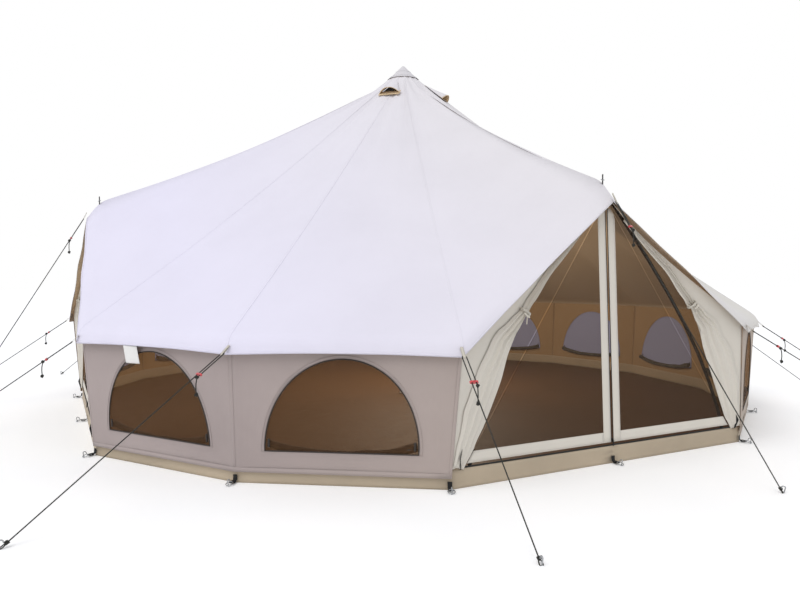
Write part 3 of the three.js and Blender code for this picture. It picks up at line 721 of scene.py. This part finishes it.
def seam_strip(name, k, width=0.014, lift=0.0006):
    """The felled seam down a corner line, lying on the cloth on both sides of it."""
    def place(u, v):
        s = 0.02 + 1.96 * (1 - v)
        chord = (roof_line(k + 1, min(s, 1)) - roof_line(k, min(s, 1))).length
        a = k + (u - 0.5) * width / chord
        normal = roof_normal(a, s) if s < 1 else polar(k * STEP, 1.0)
        return roof_surface(a, s) + normal * lift
    cloth(name, 4, 140, place, ROOF, size=(width, 3.7), thick=0.0006)


def roof():
    def canopy(u, v):
        w = 1 - v
        if w < 0.86:
            level = w / 0.86 * BEND_START
        elif w < 0.96:
            level = BEND_START + (w - 0.86) / 0.10 * (BEND_END - BEND_START)
        else:
            level = BEND_END + (w - 0.96) / 0.04 * (2 - BEND_END)
        return roof_surface(DIVISIONS * u, level)
    top = cloth("roof_cloth", DIVISIONS * 12, 75, canopy, ROOF, inside=ROOF_INSIDE_PAINTED_SHADE, size=(19.3, 3.75),
                held="hung")
    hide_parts("roof_canopy")

    def hem(u):
        a = DIVISIONS * u
        return roof_surface(a, 1.9) + polar(a * STEP, 0.0012)

    def hem_side(u):
        a = DIVISIONS * u
        return (roof_surface(a, 2) - roof_surface(a, 1.6)).normalized()
    strap("valance_hem", hem, hem_side, 0.010, ROOF, steps=DIVISIONS * 16, thick=0.0008, length=19)
    for k in range(DIVISIONS):
        seam_strip(f"roof_seam_{k:02d}", k)


def apex():
    """The reinforced cone over the pole's head."""
    tall = APEX_HEIGHT - 0.001
    profile = [(0.001, tall), (0.010, tall - 0.001), (0.020, tall - 0.010),
               (COLLAR_RADIUS, COLLAR_HEIGHT + 0.011), (0.110, 3.0265), (0.150, 2.994)]

    def cone(u, v):
        i = min(int((1 - v) * (len(profile) - 1)), len(profile) - 2)
        t = (1 - v) * (len(profile) - 1) - i
        radius = profile[i][0] + (profile[i + 1][0] - profile[i][0]) * t
        z = profile[i][1] + (profile[i + 1][1] - profile[i][1]) * t
        return polar(360 * u, radius, z)
    cap = cloth("apex_cap_cloth", 64, 20, cone, VALANCE, inside=ROOF_INSIDE_PAINTED_SHADE, size=(0.9, 0.2), thick=0.002)
    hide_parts("apex_cap")
    for index, (radius, z) in enumerate(((0.132, 3.0115), (0.074, 3.0655))):
        ring(f"apex_stitching_{index}", Vector((0, 0, z)), Vector((0, 0, 1)), radius, 0.0009, VALANCE)


def vents():
    for k in VENTS:
        label = f"{k:02d}"
        out = polar(k * STEP, 1.0)
        side = polar(k * STEP + 90, 1.0)

        def on_roof(radius, x, lift):
            s = 0.1 * (radius - COLLAR_RADIUS) / (SHOULDER_RADIUS - COLLAR_RADIUS)
            if radius > SHOULDER_RADIUS:
                s = 0.1 + 0.9 * (radius - SHOULDER_RADIUS) / (SEAM_RADIUS - SHOULDER_RADIUS)
            base = roof_line(k, s)
            return base + side * x + roof_normal(k, max(s, 0.02)) * lift

        def hood(u, v):
            x = (u - 0.5) * 2
            radius = 0.215 + 0.19 * (1 - v)
            wide = 0.012 + 0.085 * (1 - v)
            arch = 0.058 * (1 - v) * (1 - abs(x) ** 2.2)
            return on_roof(radius, x * wide, arch + 0.004)
        cloth(f"vent_hood_{label}", 16, 12, hood, ROOF, inside=VENT_TRIM, size=(0.2, 0.2), thick=0.002)

        def opening(u, v):
            x = (u - 0.5) * 2
            radius = 0.235 + 0.155 * (1 - v)
            return on_roof(radius, x * (0.012 + 0.068 * (1 - v)), 0.003)
        cloth(f"vent_mesh_{label}", 10, 8, opening, COVER, size=(0.15, 0.15), thick=0.001)

        def trim(u, v):
            return on_roof(0.372 + 0.055 * (1 - v), (u - 0.5) * 0.20, 0.0045)
        cloth(f"vent_trim_{label}", 8, 3, trim, VENT_TRIM, size=(0.2, 0.055), thick=0.001)
        rim = [hood(i / 16, 0.0) for i in range(17)]
        rod(f"vent_rim_{label}", rim, 0.0028, VENT_TRIM, resolution=2)


# ---------------------------------------------------------------- walls and windows


def wall_radius(z):
    return WALL_FOOT_RADIUS + WALL_LEAN * (z - WALL_BOTTOM) / (WALL_TOP - WALL_BOTTOM)


def wall_corner_point(k, z, inset=0.0):
    """A point up the wall's corner line k, which is drawn aside and up towards its top."""
    t = (z - WALL_BOTTOM) / (WALL_TOP - WALL_BOTTOM)
    azimuth = k * STEP + (eave_azimuth(k) - k * STEP) * t
    return polar(azimuth, wall_radius(z) - inset, z + t * eave_rise(k))


def panel_point(k, across, z, out=0.0):
    """A point of the wall panel between corners k and k + 1, across from -1 to 1."""
    left = wall_corner_point(k, z)
    return left.lerp(wall_corner_point(k + 1, z), (across + 1) / 2) + polar((k + 0.5) * STEP, out)


def half_chord(z):
    return wall_radius(z) * math.sin(math.radians(STEP / 2))


def window_outline(steps):
    """Points (x, z) round the half-round window, from its right foot over the top and along the sill."""
    points = []
    arc = int(steps * 0.66)
    for i in range(arc):
        a = math.pi * i / arc
        points.append((WINDOW_WIDTH / 2 * math.cos(a), WINDOW_SILL + WINDOW_HEIGHT * math.sin(a)))
    flat = steps - arc
    for i in range(flat):
        points.append((-WINDOW_WIDTH / 2 + WINDOW_WIDTH * i / flat, WINDOW_SILL))
    return points


def panel_outline(window):
    """For each point round the window, a point (across, z) of the panel's edge, corners among them."""
    low, high = WALL_BOTTOM, WALL_TOP
    middle = WINDOW_SILL + 0.2
    edge = []
    for x, z in window:
        dx, dz = x / half_chord(z), z - middle
        reach = []
        if abs(dx) > 1e-9:
            reach.append(1 / abs(dx))
        if abs(dz) > 1e-9:
            reach.append(((high if dz > 0 else low) - middle) / dz)
        t = min(reach)
        edge.append([dx * t, middle + dz * t])
    for corner in ((1, low), (1, high), (-1, high), (-1, low)):
        nearest = min(edge, key=lambda p: (p[0] - corner[0]) ** 2 * 0.3 + (p[1] - corner[1]) ** 2)
        nearest[0], nearest[1] = corner
    return edge


WINDOW = window_outline(72)
PANEL_EDGE = panel_outline(WINDOW)


def wall_fold(k, across, z):
    """Soft folds of the wall, deepest between its corners."""
    inner = math.cos(math.pi * across / 2) ** 0.5 if abs(across) < 1 else 0.0
    drape = noise.noise(Vector((across * 1.3 + k * 5.1, z * 2.2, 1.0)))
    fine = noise.noise(Vector((across * 5.0 + k * 3.7, z * 3.0, 2.0)))
    return (0.007 * drape + 0.0025 * fine) * inner - 0.004 * inner


def wall_panel(k, label):
    count = len(WINDOW)

    def place(u, v):
        i = round((1 - u) * count) % count
        wx, wz = WINDOW[i]
        ex, ez = PANEL_EDGE[i]
        across = wx / half_chord(wz) * (1 - v) + ex * v
        z = wz * (1 - v) + ez * v
        return panel_point(k, across, z, wall_fold(k, across, z) * smooth(v * 3) * smooth((1 - v) * 4 + 0.1))
    return cloth(f"wall_panel_{label}", count, 12, place, WALL, inside=WALL_INSIDE_PAINTED_SHADE, size=(1.19, 0.73),
                 held="hung")


def window(k, label):
    def screen(u, v):
        a = math.pi * (1 - u)
        x = (WINDOW_WIDTH / 2 + 0.006) * math.cos(a)
        z = WINDOW_SILL + (WINDOW_HEIGHT + 0.006) * math.sin(a) * v
        bulge = 0.006 * math.sin(math.pi * u) * math.sin(math.pi * v)
        return panel_point(k, x / half_chord(z), z, -0.003 - bulge)
    cloth(f"window_screen_{label}", 24, 8, screen, SCREEN, thick=0.0, size=(WINDOW_WIDTH, WINDOW_HEIGHT),
          held="stretched")
    outline = [panel_point(k, x / half_chord(z), z, 0.001) for x, z in WINDOW]
    rod(f"window_binding_{label}", outline, 0.0035, BINDING, closed=True, resolution=1)
    fold = [panel_point(k, x / half_chord(z) * 1.045,
                        WINDOW_SILL + (z - WINDOW_SILL) * 1.045 - 0.004, 0.0008)
            for x, z in WINDOW]
    rod(f"window_stitching_{label}", fold, 0.0011, WALL, closed=True, resolution=1)
    cover = []
    radii = []
    for i in range(19):
        t = i / 18 * 2 - 1
        sag = 0.046 * (1 - abs(t) ** 2.6)
        z = WINDOW_SILL + 0.034 - sag + 0.004 * noise.noise(Vector((t * 4, k, 0)))
        cover.append(panel_point(k, t * (WINDOW_WIDTH / 2 - 0.012) / half_chord(z), z, -0.028))
        radii.append(0.8 + 0.35 * noise.noise(Vector((t * 5, k * 2.0, 4))) + 0.25 * abs(t))
    rod(f"window_cover_{label}", cover, 0.021, COVER, radii=radii)
    for hand in (-1, 1):
        x = hand * (WINDOW_WIDTH / 2 - 0.022)
        z = WINDOW_SILL + 0.05
        top = panel_point(k, x / half_chord(z), z + 0.015, -0.002)
        foot = panel_point(k, x / half_chord(z), z - 0.030, -0.002)
        rod(f"window_toggle_{label}_{'left' if hand < 0 else 'right'}", [top, foot], 0.006, BINDING)


def wall_corner(k, label):
    """The felled seam and its tape up a wall corner."""
    def place(u, v):
        x = (u - 0.5) * 0.018
        z = WALL_BOTTOM + (WALL_TOP - WALL_BOTTOM) * v
        corner = wall_corner_point(k, z, -0.0006)
        along = (wall_corner_point(k + (1 if x > 0 else -1), z, -0.0006) - corner).normalized()
        return corner + along * abs(x)
    cloth(f"wall_seam_{label}", 4, 12, place, WALL, size=(0.018, 0.73), thick=0.0006)


def walls():
    panels = []
    for first, last in ((1, 11), (13, 15)):
        for k in range(first, last):
            panels.append((k, wall_panel(k, f"{k:02d}")))
            window(k, f"{k:02d}")
        for k in range(first, last + 1):
            wall_corner(k, f"{k:02d}")

        def hem(u, first=first, last=last):
            a = first + (last - first) * u
            k = min(int(a), last - 1)
            return panel_point(k, (a - k) * 2 - 1, WALL_BOTTOM + 0.014, 0.0014)
        strap(f"wall_hem_{first:02d}", hem, lambda u: Vector((0, 0, 1)), 0.026, WALL,
              steps=(last - first) * 8, thick=0.0016, length=1.2 * (last - first))
    for k, panel in panels:
        if k < 11:
            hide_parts("wall_far", "window_mesh_far")
        else:
            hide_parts("wall_near", "window_mesh_near")


# ---------------------------------------------------------------- groundsheet


def floor_corner(k, radius, z):
    """A point of the floor's outline at corner k; a doorway's middle lies on its chord."""
    if is_door(k):
        return polar(k * STEP, radius * math.cos(math.radians(STEP)), z)
    return polar(k * STEP, radius, z)


def ring_point(a, radius, z):
    k = math.floor(a)
    return floor_corner(k, radius, z).lerp(floor_corner(k + 1, radius, z), a - k)


def groundsheet():
    def tub(u, v):
        a = DIVISIONS * u
        f = a - math.floor(a)
        belly = 0.006 * math.sin(math.pi * v) + 0.003 * noise.noise(Vector((a * 2.0, v * 2, 9)))
        crease = 0.003 * math.exp(-((min(f, 1 - f) / 0.05) ** 2)) * math.sin(14 * v)
        z = 0.001 + (TUB_HEIGHT - 0.001) * v
        return ring_point(a, FLOOR_RADIUS - 0.001 - abs(belly) * 0.4 - abs(crease), z)
    wall = cloth("groundsheet_tub", DIVISIONS * 12, 6, tub, TUB, size=(18.6, 0.11), held="stretched")
    bm = bmesh.new()
    corners = [bm.verts.new(floor_corner(k, FLOOR_RADIUS - 0.003, 0.0)) for k in range(DIVISIONS)]
    bottom = bm.faces.new(corners)
    bottom.normal_update()
    if bottom.normal.z > 0:
        bottom.normal_flip()
    raised = bmesh.ops.extrude_face_region(bm, geom=[bottom])
    verts = [v for v in raised["geom"] if isinstance(v, bmesh.types.BMVert)]
    bmesh.ops.translate(bm, verts=verts, vec=(0, 0, 0.003))
    bmesh.ops.recalc_face_normals(bm, faces=bm.faces)
    floor = from_bmesh("groundsheet_floor", bm, GROUND, flat=True)
    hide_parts("groundsheet")
    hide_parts("groundsheet")
    for a in range(DIVISIONS):
        floor_loop(a, f"{a:02d}")


def floor_loop(k, label):
    """A webbing tab with a ring at the tub's foot, held down by its own peg."""
    out = polar(k * STEP, 1.0)
    foot = floor_corner(k, FLOOR_RADIUS, 0.0)
    side = polar(k * STEP + 90, 1.0)
    path = [foot + out * 0.001 + Vector((0, 0, 0.045)), foot + out * 0.003 + Vector((0, 0, 0.018)),
            foot + out * 0.020 + Vector((0, 0, 0.006)), foot + out * 0.042 + Vector((0, 0, 0.008)),
            foot + out * 0.046 + Vector((0, 0, 0.012)), foot + out * 0.040 + Vector((0, 0, 0.015)),
            foot + out * 0.014 + Vector((0, 0, 0.016))]
    strap(f"floor_tab_{label}", lambda u: between(path, u), lambda u: side, 0.025, DARK_WEB, steps=24,
          length=0.1)
    ring(f"floor_ring_{label}", foot + out * 0.060 + Vector((0, 0, 0.011)),
         Vector((0, 0, 1)) + out * 0.3, 0.019,
         0.0025, STEEL)
    peg(f"floor_peg_{label}", foot + out * 0.070, out)


# ---------------------------------------------------------------- doorways


def in_door(x, z, n=0.0):
    return Vector((x, -(CHORD - DOOR_LEAN * z) - n, z))


def hinge_point(s):
    return in_door(OPENING_HALF_WIDTH * (1 - s), SILL + (OPENING_TOP - SILL) * s)


def straight_mesh_edge(z):
    """How far from the doorway's middle its mesh reaches, at a height of the leaning plane."""
    if z < TIE_HEIGHT:
        return OPENING_HALF_WIDTH + (TIE_REACH - OPENING_HALF_WIDTH) * (z - SILL) / (TIE_HEIGHT - SILL)
    t = (z - TIE_HEIGHT) / (OPENING_TOP - TIE_HEIGHT)
    return TIE_REACH * (1 - t) + 0.075 * math.sin(math.pi * t)


class Jamb:
    """One side of the doorway whose middle is corner k; its points are on the right-hand side."""

    def __init__(self, k, side):
        self.k = k
        self.side = side

    def seam(self, z):
        turn = Matrix.Rotation(math.radians(-self.k * STEP), 3, "Z")
        corner = turn @ wall_corner_point(self.k + self.side, z, EDGE_INSET)
        return Vector((self.side * corner.x - EDGE_INSET, corner.y, corner.z))

    def edge(self, s):
        top = WALL_TOP - EDGE_INSET
        if s <= WING_LEVEL:
            low = SILL - 0.005
            return self.seam(low + (top - low) * s / WING_LEVEL)
        t = (s - WING_LEVEL) / (1 - WING_LEVEL)
        point = self.seam(top).lerp(in_door(0, SURROUND_TOP), t)
        point.z -= droop(1 - t)
        return point

    def point(self, s, f):
        return hinge_point(s).lerp(self.edge(s), f)

    def mesh_share(self, s):
        """Where across the surround its canvas starts, past the mesh that reaches from the hinge line."""
        hinge, edge = hinge_point(s), self.edge(s)
        reach = straight_mesh_edge(hinge.z) - hinge.x
        span = max(edge.x - hinge.x, 0.02)
        return min(max(reach / span, 0.0), 0.86)

    def normal(self, s, f):
        up = self.point(min(s + 0.02, 1), f) - self.point(max(s - 0.02, 0), f)
        return (self.edge(s) - hinge_point(s)).cross(up).normalized()


class Doorway:
    """One doorway, built facing -Y and turned into place about the tent's axis."""

    def __init__(self, k):
        self.k = k
        self.name = DOORS[k]
        turn = (k * STEP + 180) % 360 - 180
        self.turn = Matrix.Rotation(math.radians(turn), 3, "Z")

    def at(self, point):
        return self.turn @ point

    def cloth(self, name, columns, rows, place, material, **kinds):
        def placed(u, v):
            return self.at(place(u, v))
        return cloth(f"{self.name}_{name}", columns, rows, placed, material, **kinds)

    def build(self):
        self.surround()
        for hand, side in (("left", -1), ("right", 1)):
            self.leaf(hand, side)
            self.tied_leaf(hand, side)
            self.corner_strap(hand, side)
        self.threshold()
        self.frame_and_zip()

    def surround(self):
        pieces = []
        for hand, side in (("left", -1), ("right", 1)):
            jamb = Jamb(self.k, side)

            def on_side(u, side=side):
                return u if side > 0 else 1 - u

            def mirror(p, side=side):
                return Vector((side * p.x, p.y, p.z))

            def wing(u, v, jamb=jamb, on_side=on_side, mirror=mirror):
                start = jamb.mesh_share(v)
                f = start + (1 - start) * on_side(u)
                ripple = 0.008 * noise.noise(Vector((f * 4.0, v * 3.5, jamb.side * 2.0 + 4)))
                stand = jamb.normal(v, f) * ripple * math.sin(math.pi * f) * (1 - v)
                return mirror(jamb.point(v, f) + stand)
            pieces.append(self.cloth(f"door_wing_{hand}", 18, 56, wing, DOOR, inside=WALL_INSIDE_PAINTED_SHADE,
                                     size=(0.32, 1.8), held="hung"))

            def sliver(u, v, jamb=jamb, on_side=on_side, mirror=mirror):
                return mirror(jamb.point(v, jamb.mesh_share(v) * on_side(u)) + Vector((0, 0.0008, 0)))
            pieces.append(self.cloth(f"door_mesh_edge_{hand}", 4, 56, sliver, DOOR_SCREEN, thick=0.0,
                                     size=(0.3, 1.8)))
        for piece in pieces:
            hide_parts(f"{self.name}_door_surround")

    def leaf(self, hand, side):
        body = f"{self.name}_mesh_leaf_{hand}"
        foot = SILL + 0.012

        def hinge_x(z):
            return hinge_point((z - SILL) / (OPENING_TOP - SILL)).x - HINGE_GAP

        def flat(u, v, n=0.0):
            z = foot + (LEAF_TOP - foot) * v
            x = LEAF_GAP + (hinge_x(z) - LEAF_GAP) * (u if side > 0 else 1 - u)
            return in_door(side * x, z, n)
        screen = self.cloth(f"mesh_leaf_cloth_{hand}", 20, 28, flat, DOOR_SCREEN, body=body, thick=0.0,
                            size=(1.04, 1.42), held="hung")
        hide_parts(body)

        def middle_band(u, v):
            z = foot + (LEAF_TOP - foot) * v
            x = LEAF_GAP + 0.004 + 0.058 * (u if side > 0 else 1 - u)
            x = min(x, hinge_x(z))
            return in_door(side * x, z, 0.001)
        self.cloth(f"mesh_leaf_middle_band_{hand}", 3, 40, middle_band, BAND, body=body, size=(0.06, 1.4),
                   thick=0.0014)

        def foot_band(u, v):
            z = foot + 0.062 * v
            near = LEAF_GAP + 0.062
            x = near + (hinge_x(z) - near) * (u if side > 0 else 1 - u)
            return in_door(side * x, z, 0.001)
        self.cloth(f"mesh_leaf_foot_band_{hand}", 40, 3, foot_band, BAND, body=body, size=(1.0, 0.06),
                   thick=0.0014)

        def zip_tape(u, v):
            z = foot + (LEAF_TOP - foot) * v
            x = LEAF_GAP + 0.005 * (u if side > 0 else 1 - u) - 0.0005
            return in_door(side * x, z, 0.0016)
        self.cloth(f"mesh_leaf_zip_{hand}", 1, 40, zip_tape, ZIP, body=body, size=(0.01, 1.4), thick=0.0016)

        def hinge_tape(u, v):
            z = foot + (LEAF_TOP - foot) * v
            x = hinge_x(z) - 0.003 * ((1 - u) if side > 0 else u)
            return in_door(side * x, z, 0.0008)
        self.cloth(f"mesh_leaf_hinge_tape_{hand}", 1, 30, hinge_tape, DOOR_SCREEN, body=body, thick=0.0,
                   size=(0.003, 1.7))

    def tied_leaf(self, hand, side):
        """The canvas leaf: soft folds below the strap that ties it half way up, and a roll above it."""
        jamb = Jamb(self.k, side)
        # up the hinge line, out across the surround, half width, depth of its folds
        stations = ((0.0, 0.52, 0.040, 0.004), (0.08, 0.50, 0.064, 0.006), (0.2, 0.49, 0.092, 0.008),
                    (0.32, 0.48, 0.096, 0.010), (0.42, 0.47, 0.076, 0.013), (0.5, 0.46, 0.044, 0.015),
                    (TIE_LEVEL, TIE_SHARE, 0.026, 0.015), (0.6, 0.52, 0.026, 0.013),
                    (0.75, 0.68, 0.020, 0.012), (0.92, 0.72, 0.011, 0.008))

        def station(v):
            s = stations[0][0] + (stations[-1][0] - stations[0][0]) * v
            i = max(j for j in range(len(stations) - 1) if stations[j][0] <= s + 1e-9)
            t = smooth((s - stations[i][0]) / (stations[i + 1][0] - stations[i][0]))
            f, wide, deep = [a + (b - a) * t for a, b in zip(stations[i][1:], stations[i + 1][1:])]
            span = max((jamb.edge(s) - hinge_point(s)).length, 0.03)
            if s < TIE_LEVEL:
                f = max(f, jamb.mesh_share(s) + (wide - 0.012) / span)
            return s, f, wide, deep
        folds = 3.5
        # The leaf is folded in four across its width: its front layer is the one seen.
        shares = (0.34, 0.57, 0.79)

        def across_folds(u):
            """Across the bundle from -1 to 1, and the layer it lies in: 0 in front, the others behind it."""
            if u < shares[0]:
                return 1 - 2 * u / shares[0], 0
            if u < shares[1]:
                return -1 + 1.95 * (u - shares[0]) / (shares[1] - shares[0]), 1
            if u < shares[2]:
                return 0.95 - 1.90 * (u - shares[1]) / (shares[2] - shares[1]), 2
            return -0.95 + 1.85 * (u - shares[2]) / (1 - shares[2]), 3

        def place(u, v):
            s, f, wide, deep = station(v)
            out = jamb.normal(s, f)
            along = (jamb.point(min(s + 0.01, 1), f) - jamb.point(max(s - 0.01, 0), f)).normalized()
            across = along.cross(out).normalized()
            x, layer = across_folds(u)
            phase = math.pi * folds * x + 1.2 * noise.noise(Vector((x * 1.3, v * 3, side + self.k)))
            wave = math.sin(phase) * (0.75 + 0.6 * noise.noise(Vector((x * 2.5, v * 2, side + 5))))
            round_edge = 1 - 0.6 * abs(x) ** 4
            lift = 1.1 + 0.9 * wave * (1 - 0.3 * x * x) if layer == 0 else (0.6, 0.38, 0.16)[layer - 1]
            slip = 0.10 * wide * math.cos(phase) / folds if layer == 0 else 0.0
            point = jamb.point(s, f) + across * (wide * x + slip)
            point += out * (0.004 + deep * lift * round_edge)
            return Vector((side * point.x, point.y, point.z))

        def ordered(u, v):
            return place(1 - u if side > 0 else u, v)
        leaf = self.cloth(f"canvas_leaf_cloth_{hand}", 150, 72, ordered, DOOR, thick=0.0009,
                          size=(1.05, 1.47), held="gathered", cut_area=0.77)
        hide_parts(f"{self.name}_canvas_leaf_{hand}")
        self.tie(hand, side, jamb.point(TIE_LEVEL, TIE_SHARE) + jamb.normal(TIE_LEVEL, TIE_SHARE) * 0.020)

    def tie(self, hand, side, middle):
        """The cream strap and toggle that hold the gathered leaf."""
        middle = Vector((side * middle.x, middle.y, middle.z))
        along = Vector((-side * 0.58, 0, 0.81)).normalized()
        across = Vector((0, -1, 0)).cross(along)
        points = []
        for i in range(25):
            a = 2 * math.pi * i / 24
            offset = across * 0.036 * math.cos(a) + Vector((0, -0.024 * math.sin(a), 0))
            points.append(self.at(middle + offset))
        strap(f"{self.name}_tie_strap_{hand}", lambda u: between(points, u), lambda u: self.at(along), 0.016,
              CREAM_WEB, steps=24, length=0.2)
        knob = middle - along * 0.020 + Vector((0, -0.030, 0))
        toggle = [self.at(knob + across * x) for x in (-0.022, -0.018, -0.006, 0.006, 0.018, 0.022)]
        rod(f"{self.name}_tie_toggle_{hand}", toggle, 0.0065, CREAM_WEB, radii=[0.6, 1, 0.75, 0.75, 1, 0.6])
        fall = [self.at(knob + Vector((0.0, 0, -0.012 * i)) + along * 0.002 * math.sin(i)) for i in range(5)]
        rod(f"{self.name}_tie_end_{hand}", fall, 0.0025, CREAM_WEB, resolution=2)

    def corner_strap(self, hand, side):
        """The black strap that draws the doorway's foot down to its corner ring."""
        top = in_door(side * 1.070, SILL + 0.115, 0.012)
        middle = in_door(side * 1.098, SILL + 0.045, 0.030)
        foot = in_door(side * 1.085, SILL - 0.012, 0.012)
        points = [self.at(p) for p in (top, top.lerp(middle, 0.5), middle, middle.lerp(foot, 0.5), foot)]
        along = self.at(Vector((side * 0.3, -0.8, 0.2))).normalized()
        strap(f"{self.name}_corner_strap_{hand}", lambda u: between(points, u), lambda u: along, 0.020,
              DARK_WEB,
              steps=16, length=0.16)

    def threshold(self):
        """The foot zip along the sill, with its canvas flap."""
        def path(u):
            x = (u * 2 - 1) * (OPENING_HALF_WIDTH + 0.02)
            return self.at(in_door(x, TUB_HEIGHT + 0.006, 0.002))
        strap(f"{self.name}_sill_zip", path, lambda u: Vector((0, 0, 1)), 0.009, ZIP, steps=60, thick=0.002,
              length=2.1)

        def flap(u, v):
            x = (u * 2 - 1) * (OPENING_HALF_WIDTH + 0.03)
            return in_door(x, TUB_HEIGHT - 0.010 + 0.012 * v, 0.0015 + 0.0006 * math.sin(x * 40))
        self.cloth("sill_flap", 60, 2, flap, TUB, size=(2.1, 0.01))

    def frame_and_zip(self):
        for part in ("frame_leg_left", "frame_leg_right", "frame_elbow"):
            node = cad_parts[f"{self.name}_{part}"]
            node.data.materials.clear()
            node.data.materials.append(FRAME)
        slider = f"{self.name}_zip_slider"
        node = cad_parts[slider]
        node.data.materials.clear()
        node.data.materials.append(ZIP)
        z = SILL + 0.030
        pull = [self.at(in_door(0.001 * math.sin(i), z - 0.008 * i, 0.0085)) for i in range(6)]
        rod(f"{self.name}_zip_pull", pull, 0.003, ZIP, body=slider, radii=[0.7, 0.9, 1.1, 1.2, 1.2, 0.8])
        grommet = Vector((0, -(CHORD - DOOR_LEAN * (PEAK_HEIGHT - 0.04) - 0.024), PEAK_HEIGHT + 0.011))
        ring(f"{self.name}_peak_grommet", self.at(grommet), self.at(Vector((0, -0.3, 1))), 0.010, 0.0022,
             STEEL)


# ---------------------------------------------------------------- poles


def poles():
    for part in ("lower", "middle", "upper"):
        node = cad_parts[f"centre_pole_{part}"]
        node.data.materials.clear()
        node.data.materials.append(STEEL)


def blank_tag():
    """A plain cloth tag that hangs from the valance over the window left of the front doorway."""
    k = 13
    z0 = VALANCE_HEIGHT + 0.010

    def place(u, v):
        across = -0.32 + 0.19 * u
        z = z0 - 0.105 * (1 - v)
        return panel_point(k, across, z, 0.024 + 0.010 * v + 0.003 * math.sin(5 * u) * (1 - v))
    cloth("blank_tag", 10, 10, place, TAG, size=(0.112, 0.105), thick=0.0008, held="hung")


studio()
guys()
roof()
apex()
vents()
walls()
groundsheet()
for middle in DOORS:
    Doorway(middle).build()
poles()
blank_tag()
